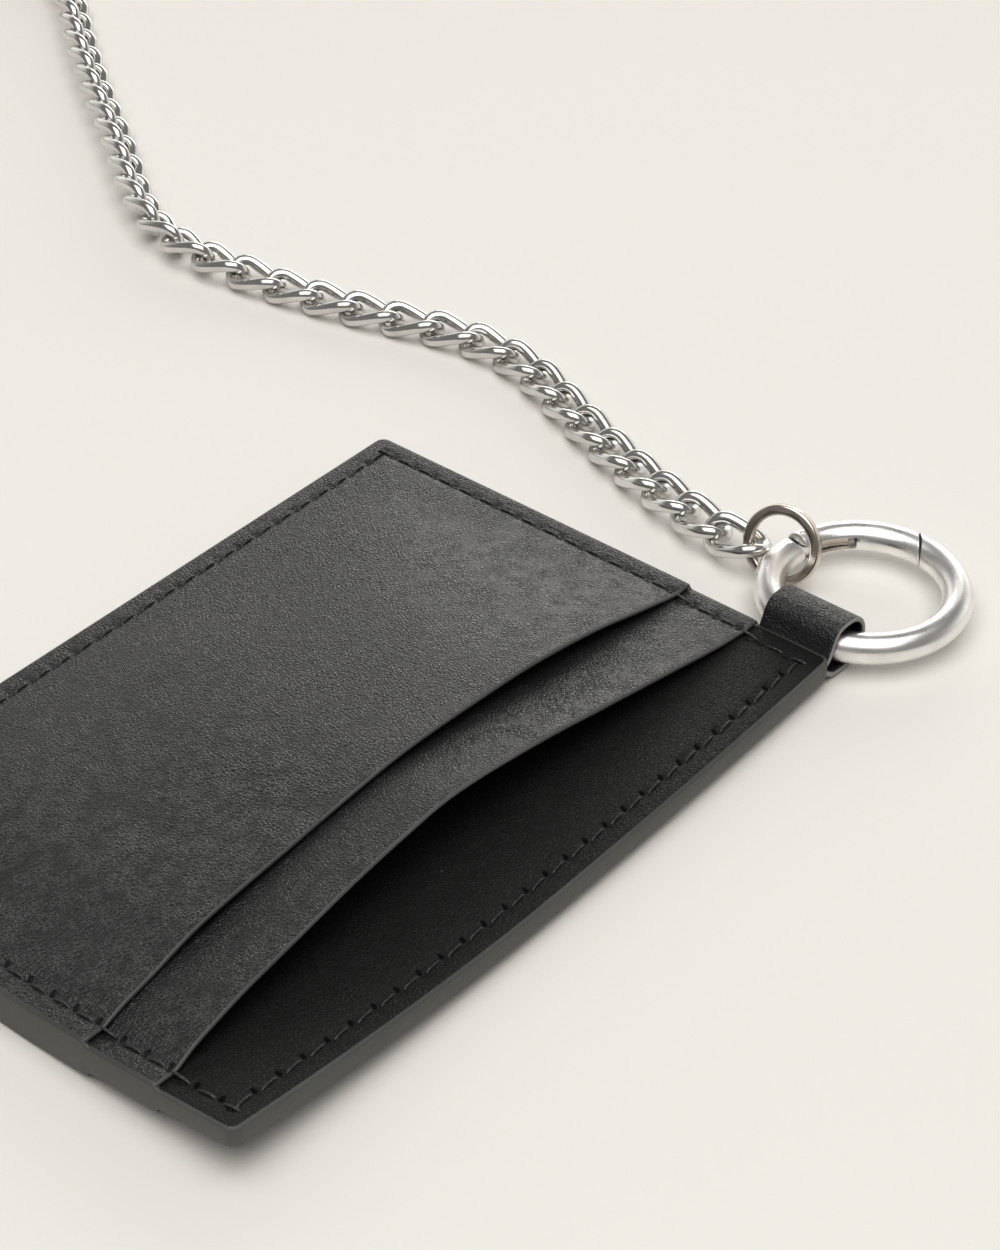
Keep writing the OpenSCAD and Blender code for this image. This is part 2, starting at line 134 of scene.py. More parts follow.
def profile(points: Sequence[tuple[float, float]]) -> Callable[[Grid], Grid]:
    """A smooth curve through a few points.

    Args:
        points: Place and height of each point, in rising order of place.

    Returns:
        A function that gives the height at any place, flat past both ends.
    """
    place = np.array([p[0] for p in points], float)
    height = np.array([p[1] for p in points], float)
    slope = np.zeros_like(height)
    slope[1:-1] = (height[2:] - height[:-2]) / (place[2:] - place[:-2])

    def at(value: Grid) -> Grid:
        """Height of the curve at a place.

        Args:
            value: Places along the curve.

        Returns:
            The heights there.
        """
        v = np.clip(value, place[0], place[-1])
        i = np.clip(np.searchsorted(place, v) - 1, 0, len(place) - 2)
        width = place[i + 1] - place[i]
        t = (v - place[i]) / width
        rise = t * t * (3.0 - 2.0 * t)
        start = t * (1.0 - t) ** 2 * width * slope[i]
        end = t * t * (t - 1.0) * width * slope[i + 1]
        return height[i] + (height[i + 1] - height[i]) * rise + start + end

    return at


def add_object(name: str, data: bpy.types.ID) -> bpy.types.Object:
    """Makes an object of a mesh, light or camera and links it to the scene.

    Args:
        name: The object's name.
        data: Its mesh, light or camera.

    Returns:
        The new object.
    """
    made = bpy.data.objects.new(name, data)
    bpy.context.scene.collection.objects.link(made)
    return made


def shade_smooth(mesh: bpy.types.Mesh) -> None:
    """Marks every face of a mesh smooth."""
    mesh.polygons.foreach_set("use_smooth", np.ones(len(mesh.polygons), bool))


def evaluated_mesh(piece: bpy.types.Object) -> bpy.types.Mesh:
    """A plain copy of a piece's mesh with its modifiers applied.

    Args:
        piece: The object with its modifiers.

    Returns:
        The new mesh.
    """
    bpy.context.view_layer.update()
    graph = bpy.context.evaluated_depsgraph_get()
    return bpy.data.meshes.new_from_object(piece.evaluated_get(graph))


def smooth_line(points: Grid, pieces: int) -> Grid:
    """A smooth curve through the points.

    Args:
        points: The points, one row each.
        pieces: How many steps the curve takes from one point to the next.

    Returns:
        The points of the curve.
    """
    fine = []
    for i in range(len(points) - 1):
        a, b = points[max(i - 1, 0)], points[i]
        c, d = points[i + 1], points[min(i + 2, len(points) - 1)]
        for t in np.linspace(0.0, 1.0, pieces, endpoint=False):
            bend = (2 * a - 5 * b + 4 * c - d) * t**2 + (3 * b - a - 3 * c + d) * t**3
            fine.append(0.5 * (2 * b + (c - a) * t + bend))
    fine.append(points[-1])
    return np.array(fine)


def mesh_object(
    name: str,
    points: Grid,
    faces: Sequence[Sequence[int]],
    finishes: Sequence[bpy.types.Material],
    finish_of_face: Sequence[int] | None = None,
) -> bpy.types.Object:
    """Makes a smooth mesh object whose place is in its vertices.

    Args:
        name: The piece's name.
        points: Vertices in millimetres, one row each.
        faces: Vertex numbers of each face.
        finishes: Materials, in slot order.
        finish_of_face: Slot number of each face, or None for the first slot.

    Returns:
        The new object, linked to the scene.
    """
    mesh = bpy.data.meshes.new(name)
    mesh.from_pydata((np.asarray(points, float) * MM).tolist(), [], [list(f) for f in faces])
    for finish in finishes:
        mesh.materials.append(finish)
    if finish_of_face is not None:
        mesh.polygons.foreach_set("material_index", np.asarray(finish_of_face, np.int32))
    shade_smooth(mesh)
    mesh.update()
    return add_object(name, mesh)


def place(
    piece: bpy.types.Object, body: str, slot: Slot, stands_for: Sequence[str] = ()
) -> None:
    """Puts a finished piece on its body and hides the frame nodes that it stands for.

    Args:
        piece: The piece, with its place in its mesh.
        body: The frame body it moves with.
        slot: The record's material slot. Not used.
        stands_for: Frame nodes that it replaces.
    """
    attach(piece, body)
    if stands_for:
        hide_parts(*stands_for)
    log.info("%s: %d faces on %s", piece.name, len(piece.data.polygons), body)


def ring_faces(rings: int, sides: int, closed: bool) -> list[list[int]]:
    """Faces of a tube whose rings of points follow each other.

    Args:
        rings: Number of rings.
        sides: Points in each ring.
        closed: True if the last ring joins the first.

    Returns:
        Four-sided faces, and a cap at each end if the tube is open.
    """
    faces = []
    for i in range(rings if closed else rings - 1):
        a, b = i * sides, (i + 1) % rings * sides
        for j in range(sides):
            k = (j + 1) % sides
            faces.append([a + j, a + k, b + k, b + j])
    if not closed:
        faces.append(list(reversed(range(sides))))
        faces.append([(rings - 1) * sides + j for j in range(sides)])
    return faces


def face_outwards(piece: bpy.types.Object) -> None:
    """Turns every face of a closed mesh outwards.

    Args:
        piece: The object, whose mesh is closed.
    """
    work = bmesh.new()
    work.from_mesh(piece.data)
    bmesh.ops.remove_doubles(work, verts=work.verts, dist=1e-7)
    bmesh.ops.recalc_face_normals(work, faces=work.faces)
    work.to_mesh(piece.data)
    work.free()


# ---- Shader groups -----------------------------------------------------------------------


@dataclass
class Graph:
    """A node tree with short calls for adding and joining nodes."""

    tree: bpy.types.NodeTree

    def add(self, kind: str, **settings: object) -> bpy.types.Node:
        """Adds a node and sets its properties.

        Args:
            kind: Blender's name of the node.
            settings: Properties to set on it.

        Returns:
            The new node.
        """
        node = self.tree.nodes.new(kind)
        for key, value in settings.items():
            setattr(node, key, value)
        return node

    def join(self, start: bpy.types.NodeSocket, end: bpy.types.NodeSocket) -> None:
        """Links one socket to another."""
        self.tree.links.new(start, end)

    def feed(self, end: bpy.types.NodeSocket, value: object) -> None:
        """Links a socket to an input, or sets the input to a number or colour.

        Args:
            end: The input.
            value: A socket, a number or a colour.
        """
        if isinstance(value, bpy.types.NodeSocket):
            self.join(value, end)
        else:
            end.default_value = value

    def maths(self, operation: str, a: object, b: object = 0.0) -> bpy.types.NodeSocket:
        """A maths node on sockets or numbers.

        Args:
            operation: Blender's name of the operation.
            a: First socket or number.
            b: Second socket or number.

        Returns:
            The node's value socket.
        """
        node = self.add("ShaderNodeMath", operation=operation)
        self.feed(node.inputs[0], a)
        self.feed(node.inputs[1], b)
        return node.outputs[0]

    def mix(self, amount: object, a: object, b: object) -> bpy.types.NodeSocket:
        """A mix of two colours.

        Args:
            amount: Socket or number, 0 for a and 1 for b.
            a: First socket or colour.
            b: Second socket or colour.

        Returns:
            The mixed colour's socket.
        """
        node = self.add("ShaderNodeMix", data_type="RGBA")
        factor, first, second = node.inputs[0], node.inputs[6], node.inputs[7]
        for socket, value in ((factor, amount), (first, a), (second, b)):
            self.feed(socket, value)
        return node.outputs[2]

    def remap(self, value: bpy.types.NodeSocket, low: float, high: float,
              to_low: object, to_high: object) -> bpy.types.NodeSocket:
        """Stretches a value from one range to another, held at both ends.

        Args:
            value: Socket to stretch.
            low: Value that gives to_low.
            high: Value that gives to_high.
            to_low: Result at the low end, a socket or a number.
            to_high: Result at the high end, a socket or a number.

        Returns:
            The stretched value's socket.
        """
        node = self.add("ShaderNodeMapRange")
        ends = {"Value": value, "From Min": low, "From Max": high, "To Min": to_low, "To Max": to_high}
        for name, end in ends.items():
            self.feed(node.inputs[name], end)
        return node.outputs["Result"]


def shader_group(
    name: str, inputs: Sequence[tuple[str, float]], outputs: Sequence[str]
) -> tuple[Graph, bpy.types.Node, bpy.types.Node]:
    """Starts a shader node group of plain numbers.

    Args:
        name: The group's name.
        inputs: Name and default of each input.
        outputs: Name of each output.

    Returns:
        The group's graph, its input node and its output node.
    """
    tree = bpy.data.node_groups.new(name, "ShaderNodeTree")
    for label, default in inputs:
        socket = tree.interface.new_socket(label, in_out="INPUT", socket_type="NodeSocketFloat")
        socket.default_value = default
    for label in outputs:
        tree.interface.new_socket(label, in_out="OUTPUT", socket_type="NodeSocketFloat")
    graph = Graph(tree)
    return graph, graph.add("NodeGroupInput"), graph.add("NodeGroupOutput")


def noise(graph: Graph, where: object, scale: object, detail: float) -> bpy.types.NodeSocket:
    """A noise pattern.

    Args:
        graph: Graph to add it to.
        where: Socket of the coordinates.
        scale: Socket or number, in waves to a metre.
        detail: How many finer layers it has.

    Returns:
        The noise's value socket.
    """
    node = graph.add("ShaderNodeTexNoise")
    graph.join(where, node.inputs["Vector"])
    graph.feed(node.inputs["Scale"], scale)
    node.inputs["Detail"].default_value = detail
    return node.outputs["Fac"]


def leather_grain_group() -> bpy.types.NodeTree:
    """Pebbled leather grain: small cells, fine pores and slow creases.

    Returns:
        The group's tree.
    """
    graph, given, result = shader_group(
        "leather_grain", [("Cells", 2300.0), ("Depth", 1.0)], ["Height", "Pits", "Patches"]
    )
    where = graph.add("ShaderNodeTexCoord").outputs["Object"]
    bend = graph.add("ShaderNodeTexNoise")
    graph.join(where, bend.inputs["Vector"])
    bend.inputs["Scale"].default_value = 700.0
    push = graph.add("ShaderNodeVectorMath", operation="SCALE")
    graph.join(bend.outputs["Color"], push.inputs[0])
    push.inputs["Scale"].default_value = 0.0006
    bent = graph.add("ShaderNodeVectorMath", operation="ADD")
    graph.join(where, bent.inputs[0])
    graph.join(push.outputs[0], bent.inputs[1])
    cells = graph.add("ShaderNodeTexVoronoi", feature="DISTANCE_TO_EDGE")
    graph.join(bent.outputs[0], cells.inputs["Vector"])
    graph.join(given.outputs["Cells"], cells.inputs["Scale"])
    plump = graph.remap(cells.outputs["Distance"], 0.0, 0.28, 0.0, 1.0)
    pores = noise(graph, bent.outputs[0], 5200.0, 3.0)
    slow = noise(graph, where, 420.0, 2.0)
    uneven = graph.remap(slow, 0.35, 0.65, 0.45, 1.0)
    relief = graph.maths("MULTIPLY", plump, uneven)
    fine = graph.maths("MULTIPLY", pores, 0.55)
    total = graph.maths("ADD", relief, fine)
    graph.join(graph.maths("MULTIPLY", total, given.outputs["Depth"]), result.inputs["Height"])
    # Pits is 1 in the low parts of the relief; the leather paints shade there with it, and makes them
    # rougher.
    graph.join(graph.remap(total, 0.25, 0.6, 1.0, 0.0), result.inputs["Pits"])
    graph.join(noise(graph, where, 45.0, 3.0), result.inputs["Patches"])
    return graph.tree


def dust_group() -> bpy.types.NodeTree:
    """Sparse specks of lint, as a mask.

    Returns:
        The group's tree.
    """
    graph, given, result = shader_group("lint_specks", [("Amount", 0.5)], ["Specks"])
    where = graph.add("ShaderNodeTexCoord").outputs["Object"]
    spots = graph.add("ShaderNodeTexVoronoi")
    graph.join(where, spots.inputs["Vector"])
    spots.inputs["Scale"].default_value = 420.0
    near = graph.remap(spots.outputs["Distance"], 0.02, 0.06, 1.0, 0.0)
    pick = graph.add("ShaderNodeSeparateColor")
    graph.join(spots.outputs["Color"], pick.inputs[0])
    kept = graph.maths("GREATER_THAN", pick.outputs[0], 0.9)
    both = graph.maths("MULTIPLY", near, kept)
    graph.join(graph.maths("MULTIPLY", both, given.outputs["Amount"]), result.inputs["Specks"])
    return graph.tree


def needle_hole_group() -> bpy.types.NodeTree:
    """The needle holes of the seam, as a mask on the flat panel's own coordinates. The leather sinks them
    and paints shade into them.

    Returns:
        The group's tree.
    """
    graph, given, result = shader_group(
        "needle_holes", [("Half width", 0.047), ("Half height", 0.032), ("Pitch", 0.0034)], ["Hole"]
    )
    flat = graph.add("ShaderNodeAttribute", attribute_name=FLAT_PLACE)
    split = graph.add("ShaderNodeSeparateXYZ")
    graph.join(flat.outputs["Vector"], split.inputs[0])
    beyond, from_hole = {}, {}
    for axis, reach in (("X", "Half width"), ("Y", "Half height")):
        place_along = split.outputs[axis]
        beyond[axis] = graph.maths("SUBTRACT", graph.maths("ABSOLUTE", place_along), given.outputs[reach])
        turns = graph.maths("DIVIDE", place_along, given.outputs["Pitch"])
        beat = graph.maths("SUBTRACT", turns, graph.maths("ROUND", turns))
        from_hole[axis] = graph.maths("MULTIPLY", beat, given.outputs["Pitch"])
    near = []
    for across, along in (("X", "Y"), ("Y", "X")):
        aside = graph.maths("POWER", graph.maths("ABSOLUTE", beyond[across]), 2.0)
        ahead = graph.maths("POWER", graph.maths("ABSOLUTE", from_hole[along]), 2.0)
        past_end = graph.maths("MAXIMUM", beyond[along], 0.0)
        distance = graph.maths("SQRT", graph.maths("ADD", aside, ahead))
        near.append(graph.maths("ADD", distance, past_end))
    least = graph.maths("MINIMUM", near[0], near[1])
    hole = graph.remap(least, NEEDLE_HOLE[0] * MM, NEEDLE_HOLE[1] * MM, 1.0, 0.0)
    graph.join(hole, result.inputs["Hole"])
    return graph.tree


def handling_group() -> bpy.types.NodeTree:
    """Hairlines and smears of handled plating: a change of roughness and a fine relief.

    Returns:
        The group's tree.
    """
    graph, given, result = shader_group(
        "handled_plating", [("Base", 0.2), ("Smear", 0.08)], ["Roughness", "Height", "Tone"]
    )
    where = graph.add("ShaderNodeTexCoord").outputs["Object"]
    stretch = graph.add("ShaderNodeMapping")
    graph.join(where, stretch.inputs["Vector"])
    stretch.inputs["Rotation"].default_value = (0.3, 0.5, 0.7)
    stretch.inputs["Scale"].default_value = (1.0, 9.0, 5.0)
    hairs = noise(graph, stretch.outputs[0], 900.0, 4.0)
    smears = noise(graph, where, 260.0, 3.0)
    low = graph.maths("SUBTRACT", given.outputs["Base"], given.outputs["Smear"])
    high = graph.maths("ADD", given.outputs["Base"], given.outputs["Smear"])
    graph.join(graph.remap(smears, 0.35, 0.65, low, high), result.inputs["Roughness"])
    graph.join(hairs, result.inputs["Height"])
    graph.join(smears, result.inputs["Tone"])
    return graph.tree


@dataclass
class Groups:
    """The shader groups that several finishes use."""

    grain: bpy.types.NodeTree
    lint: bpy.types.NodeTree
    holes: bpy.types.NodeTree
    handling: bpy.types.NodeTree

    @classmethod
    def build(cls) -> "Groups":
        """Builds each group once."""
        return cls(leather_grain_group(), dust_group(), needle_hole_group(), handling_group())


def new_material(name: str) -> tuple[bpy.types.Material, Graph, bpy.types.Node]:
    """Starts a material.

    Args:
        name: The material's name.

    Returns:
        The material, its graph and its shader node.
    """
    material = bpy.data.materials.new(name)
    material.use_nodes = True
    graph = Graph(material.node_tree)
    return material, graph, material.node_tree.nodes["Principled BSDF"]


def use_group(graph: Graph, tree: bpy.types.NodeTree, **values: float) -> bpy.types.Node:
    """Places a shader group in a material.

    Args:
        graph: The material's graph.
        tree: The group.
        values: Values of its inputs.

    Returns:
        The group's node.
    """
    node = graph.add("ShaderNodeGroup", node_tree=tree)
    for name, value in values.items():
        node.inputs[name].default_value = value
    return node


def add_bump(
    graph: Graph, shader: bpy.types.Node, height: bpy.types.NodeSocket, strength: float, depth_mm: float
) -> None:
    """Gives a shader a relief.

    Args:
        graph: The material's graph.
        shader: The shader node.
        height: Socket of the relief's height.
        strength: How strongly it shows.
        depth_mm: The relief's depth.
    """
    bump = graph.add("ShaderNodeBump")
    bump.inputs["Strength"].default_value = strength
    bump.inputs["Distance"].default_value = depth_mm * MM
    graph.join(height, bump.inputs["Height"])
    graph.join(bump.outputs[0], shader.inputs["Normal"])


@dataclass(frozen=True)
class LeatherFinish:
    """Dyed leather with a fine pebbled grain, and shade painted into the grain's pits and the needle
    holes.
    """

    name: str
    dark: Colour = (0.0050, 0.0050, 0.0050, 1.0)
    light: Colour = (0.0100, 0.0100, 0.0102, 1.0)
    smooth: float = 0.30
    rough: float = 0.45
    cells: float = 2300.0
    grain_mm: float = 0.06
    lint: float = 0.25
    specular: float = 0.5

    def build(self, groups: Groups) -> bpy.types.Material:
        """Builds the material from the shared groups.

        Args:
            groups: The shared shader groups.

        Returns:
            The material.
        """
        material, graph, shader = new_material(self.name)
        grain = use_group(graph, groups.grain, Cells=self.cells, Depth=1.0)
        specks = use_group(graph, groups.lint, Amount=self.lint)
        # Painted shade: the pits of the grain are darker.
        relief_shaded = graph.mix(grain.outputs["Pits"], self.light, self.dark)
        tone = graph.remap(grain.outputs["Patches"], 0.3, 0.7, 0.0, 0.35)
        uneven = graph.mix(tone, relief_shaded, self.light)
        dusty = graph.mix(specks.outputs["Specks"], uneven, LINT_COLOUR)
        holes = use_group(graph, groups.holes)
        # Painted shade: the needle holes are darkened to near black.
        hole_shaded = graph.mix(holes.outputs["Hole"], dusty, HOLE_SHADE_COLOUR)
        graph.join(hole_shaded, shader.inputs["Base Color"])
        rough = graph.remap(grain.outputs["Pits"], 0.0, 1.0, self.smooth, self.rough)
        patch = graph.remap(grain.outputs["Patches"], 0.3, 0.7, -0.04, 0.05)
        worn = graph.maths("ADD", rough, patch)
        graph.join(graph.maths("MAXIMUM", worn, holes.outputs["Hole"]), shader.inputs["Roughness"])
        shader.inputs["Specular IOR Level"].default_value = self.specular
        sunk = graph.maths("MULTIPLY", holes.outputs["Hole"], HOLE_DEPTH)
        add_bump(graph, shader, graph.maths("SUBTRACT", grain.outputs["Height"], sunk), 1.0, self.grain_mm)
        return material


@dataclass(frozen=True)
class PaintedEdgeFinish:
    """Edge paint on cut leather: smoother and greyer than the grain side. Its lighter patches are partly
    wear and partly a painted highlight along the rounded edge.
    """

    name: str
    colour: Colour = (0.050, 0.050, 0.048, 1.0)
    # Colour of the lighter patches: partly wear, partly a painted highlight.
    worn: Colour = (0.11, 0.109, 0.104, 1.0)

    def build(self, groups: Groups) -> bpy.types.Material:
        """Builds the material from the shared groups.

        Args:
            groups: The shared shader groups.

        Returns:
            The material.
        """
        material, graph, shader = new_material(self.name)
        grain = use_group(graph, groups.grain, Cells=1500.0, Depth=0.5)
        # Lighter patches: partly wear, partly a painted highlight on the edge.
        worn = graph.remap(grain.outputs["Patches"], 0.45, 0.75, 0.0, 0.6)
        graph.join(graph.mix(worn, self.colour, self.worn), shader.inputs["Base Color"])
        rough = graph.remap(grain.outputs["Patches"], 0.3, 0.7, 0.42, 0.56)
        graph.join(rough, shader.inputs["Roughness"])
        add_bump(graph, shader, grain.outputs["Height"], 0.4, 0.03)
        return material


@dataclass(frozen=True)
class ThreadFinish:
    """Waxed black thread, laid in plies, with painted shade between the plies and lighter crests."""

    name: str
    dark: Colour = (0.004, 0.004, 0.004, 1.0)
    light: Colour = (0.016, 0.016, 0.016, 1.0)
    fluff: Colour = (0.3, 0.3, 0.3, 1.0)
    plies_per_metre: float = 900.0

    def build(self, groups: Groups) -> bpy.types.Material:
        """Builds the material from the shared groups.

        Args:
            groups: The shared shader groups.

        Returns:
            The material.
        """
        material, graph, shader = new_material(self.name)
        where = graph.add("ShaderNodeTexCoord").outputs["Object"]
        plies = graph.add("ShaderNodeTexWave", bands_direction="DIAGONAL")
        graph.join(where, plies.inputs["Vector"])
        plies.inputs["Scale"].default_value = self.plies_per_metre
        fluff = use_group(graph, groups.lint, Amount=0.5)
        ply = plies.outputs["Fac"]
        # Painted shade and highlight: the plies are lighter on their crests and darker between them.
        relief_shaded = graph.mix(ply, self.dark, self.light)
        fluffy = graph.mix(fluff.outputs["Specks"], relief_shaded, self.fluff)
        graph.join(fluffy, shader.inputs["Base Color"])
        graph.join(graph.remap(ply, 0.0, 1.0, 0.5, 0.32), shader.inputs["Roughness"])
        add_bump(graph, shader, ply, 0.5, 0.05)
        return material


@dataclass(frozen=True)
class PlatedFinish:
    """Plated metal, from bright to satin."""

    name: str
    colour: Colour
    shade: Colour
    roughness: float
    smear: float
    hairline_mm: float

    def build(self, groups: Groups) -> bpy.types.Material:
        """Builds the material from the shared groups.

        Args:
            groups: The shared shader groups.

        Returns:
            The material.
        """
        material, graph, shader = new_material(self.name)
        handled = use_group(graph, groups.handling, Base=self.roughness, Smear=self.smear)
        tone = graph.remap(handled.outputs["Tone"], 0.35, 0.7, 0.0, 1.0)
        graph.join(graph.mix(tone, self.colour, self.shade), shader.inputs["Base Color"])
        graph.join(handled.outputs["Roughness"], shader.inputs["Roughness"])
        shader.inputs["Metallic"].default_value = 1.0
        add_bump(graph, shader, handled.outputs["Height"], 0.35, self.hairline_mm)
        return material


@dataclass
class Finishes:
    """Every material of the wallet."""

    leather: bpy.types.Material
    inner_leather: bpy.types.Material
    edge: bpy.types.Material
    side_edge: bpy.types.Material
    cut_edge: bpy.types.Material
    thread: bpy.types.Material
    chain: bpy.types.Material
    hoop: bpy.types.Material
    jump_ring: bpy.types.Material
    spring: bpy.types.Material
    cut_steel: bpy.types.Material

    @classmethod
    def build(cls) -> "Finishes":
        """Builds the shared groups and each material.

        Returns:
            The set of materials.
        """
        groups = Groups.build()
        return cls(
            leather=LeatherFinish("black_leather").build(groups),
            # A duller, slightly darker copy of the leather for the base panels: painted shade.
            inner_leather=LeatherFinish(
                "slot_leather", dark=(0.0045, 0.0045, 0.0042, 1.0), light=(0.0100, 0.0100, 0.0098, 1.0),
                smooth=0.40, rough=0.54, cells=2100.0, specular=0.14,
            ).build(groups),
            edge=PaintedEdgeFinish("painted_edge").build(groups),
            side_edge=PaintedEdgeFinish(
                "side_edge_paint", colour=(0.050, 0.050, 0.047, 1.0), worn=(0.10, 0.099, 0.094, 1.0)
            ).build(groups),
            # The tab's cut edge, painted light grey as a highlight where it catches the light.
            cut_edge=PaintedEdgeFinish(
                "cut_edge", colour=(0.20, 0.196, 0.185, 1.0), worn=(0.32, 0.315, 0.30, 1.0)
            ).build(groups),
            thread=ThreadFinish("waxed_thread").build(groups),
            chain=PlatedFinish(
                "chain_plating", (0.72, 0.71, 0.69, 1.0), (0.58, 0.57, 0.55, 1.0), 0.17, 0.05, 0.01
            ).build(groups),
            hoop=PlatedFinish(
                "hoop_plating", (0.90, 0.89, 0.87, 1.0), (0.80, 0.79, 0.77, 1.0), 0.30, 0.05, 0.012
            ).build(groups),
            jump_ring=PlatedFinish(
                "jump_ring_nickel", (0.66, 0.60, 0.52, 1.0), (0.54, 0.48, 0.41, 1.0), 0.2, 0.06, 0.01
            ).build(groups),
            spring=PlatedFinish(
                "spring_strip", (0.60, 0.53, 0.44, 1.0), (0.42, 0.37, 0.30, 1.0), 0.3, 0.08, 0.01
            ).build(groups),
            # Dark steel painted on the faces of the gate's slit, as the shade in it.
            cut_steel=PlatedFinish(
                "cut_steel", (0.09, 0.085, 0.08, 1.0), (0.05, 0.048, 0.045, 1.0), 0.5, 0.1, 0.01
            ).build(groups),
        )


# ---- Repeats by geometry nodes -----------------------------------------------------------


@dataclass
class Repeater:
    """A geometry tree that puts one shape on every point of a carrier, turned as the point says."""

    tree: bpy.types.NodeTree
    shape_socket: str
    finish_socket: str
    spread_socket: str
    seed_socket: str

    @classmethod
    def build(cls, name: str) -> "Repeater":
        """Builds the tree.

        Args:
            name: The tree's name.

        Returns:
            The tree with the identifiers of its inputs.
        """
        tree = bpy.data.node_groups.new(name, "GeometryNodeTree")
        face = tree.interface
        face.new_socket("Geometry", in_out="INPUT", socket_type="NodeSocketGeometry")
        shape = face.new_socket("Shape", in_out="INPUT", socket_type="NodeSocketObject")
        finish = face.new_socket("Finish", in_out="INPUT", socket_type="NodeSocketMaterial")
        spread = face.new_socket("Size spread", in_out="INPUT", socket_type="NodeSocketFloat")
        seed = face.new_socket("Seed", in_out="INPUT", socket_type="NodeSocketInt")
        face.new_socket("Geometry", in_out="OUTPUT", socket_type="NodeSocketGeometry")
        graph = Graph(tree)
        given = graph.add("NodeGroupInput")
        result = graph.add("NodeGroupOutput")
        source = graph.add("GeometryNodeObjectInfo")
        graph.join(given.outputs["Shape"], source.inputs["Object"])
        turn = graph.add("GeometryNodeInputNamedAttribute", data_type="FLOAT_VECTOR")
        turn.inputs["Name"].default_value = "turn"
        low = graph.maths("SUBTRACT", 1.0, given.outputs["Size spread"])
        high = graph.maths("ADD", 1.0, given.outputs["Size spread"])
        size = graph.add("FunctionNodeRandomValue", data_type="FLOAT")
        graph.join(low, size.inputs[2])
        graph.join(high, size.inputs[3])
        graph.join(given.outputs["Seed"], size.inputs["Seed"])
        copies = graph.add("GeometryNodeInstanceOnPoints")
        graph.join(given.outputs["Geometry"], copies.inputs["Points"])
        graph.join(source.outputs["Geometry"], copies.inputs["Instance"])
        rotation = graph.add("FunctionNodeEulerToRotation")
        graph.join(turn.outputs["Attribute"], rotation.inputs[0])
        graph.join(rotation.outputs[0], copies.inputs["Rotation"])
        graph.join(size.outputs[1], copies.inputs["Scale"])
        real = graph.add("GeometryNodeRealizeInstances")
        graph.join(copies.outputs[0], real.inputs[0])
        dress = graph.add("GeometryNodeSetMaterial")
        graph.join(real.outputs[0], dress.inputs["Geometry"])
        graph.join(given.outputs["Finish"], dress.inputs["Material"])
        graph.join(dress.outputs[0], result.inputs[0])
        return cls(tree, shape.identifier, finish.identifier, spread.identifier, seed.identifier)

    def repeat(
        self,
        name: str,
        shape: bpy.types.Object,
        places: Sequence[Sequence[float]],
        turns: Sequence[Sequence[float]],
        finish: bpy.types.Material,
        spread: float = 0.0,
        seed: int = 1,
    ) -> bpy.types.Object:
        """Makes one plain mesh of all the copies.

        Args:
            name: The piece's name.
            shape: The shape to copy, at the origin.
            places: Each copy's place, in millimetres.
            turns: Each copy's turn about X, Y and Z, in radians.
            finish: The copies' material.
            spread: How much their sizes differ, as a share.
            seed: Seed of that spread.

        Returns:
            The new object.
        """
        carrier = bpy.data.meshes.new(name + "_points")
        carrier.from_pydata([tuple(c * MM for c in p) for p in places], [], [])
        turn = carrier.attributes.new("turn", "FLOAT_VECTOR", "POINT")
        turn.data.foreach_set("vector", np.asarray(turns, np.float32).ravel())
        points = add_object(name + "_carrier", carrier)
        modifier = points.modifiers.new("repeat", "NODES")
        modifier.node_group = self.tree
        modifier[self.shape_socket] = shape
        modifier[self.finish_socket] = finish
        modifier[self.spread_socket] = spread
        modifier[self.seed_socket] = seed
        mesh = evaluated_mesh(points)
        bpy.data.objects.remove(points)
        mesh.name = name
        if not mesh.materials:
            mesh.materials.append(finish)
        shade_smooth(mesh)
        return add_object(name, mesh)


# ---- Holder ------------------------------------------------------------------------------


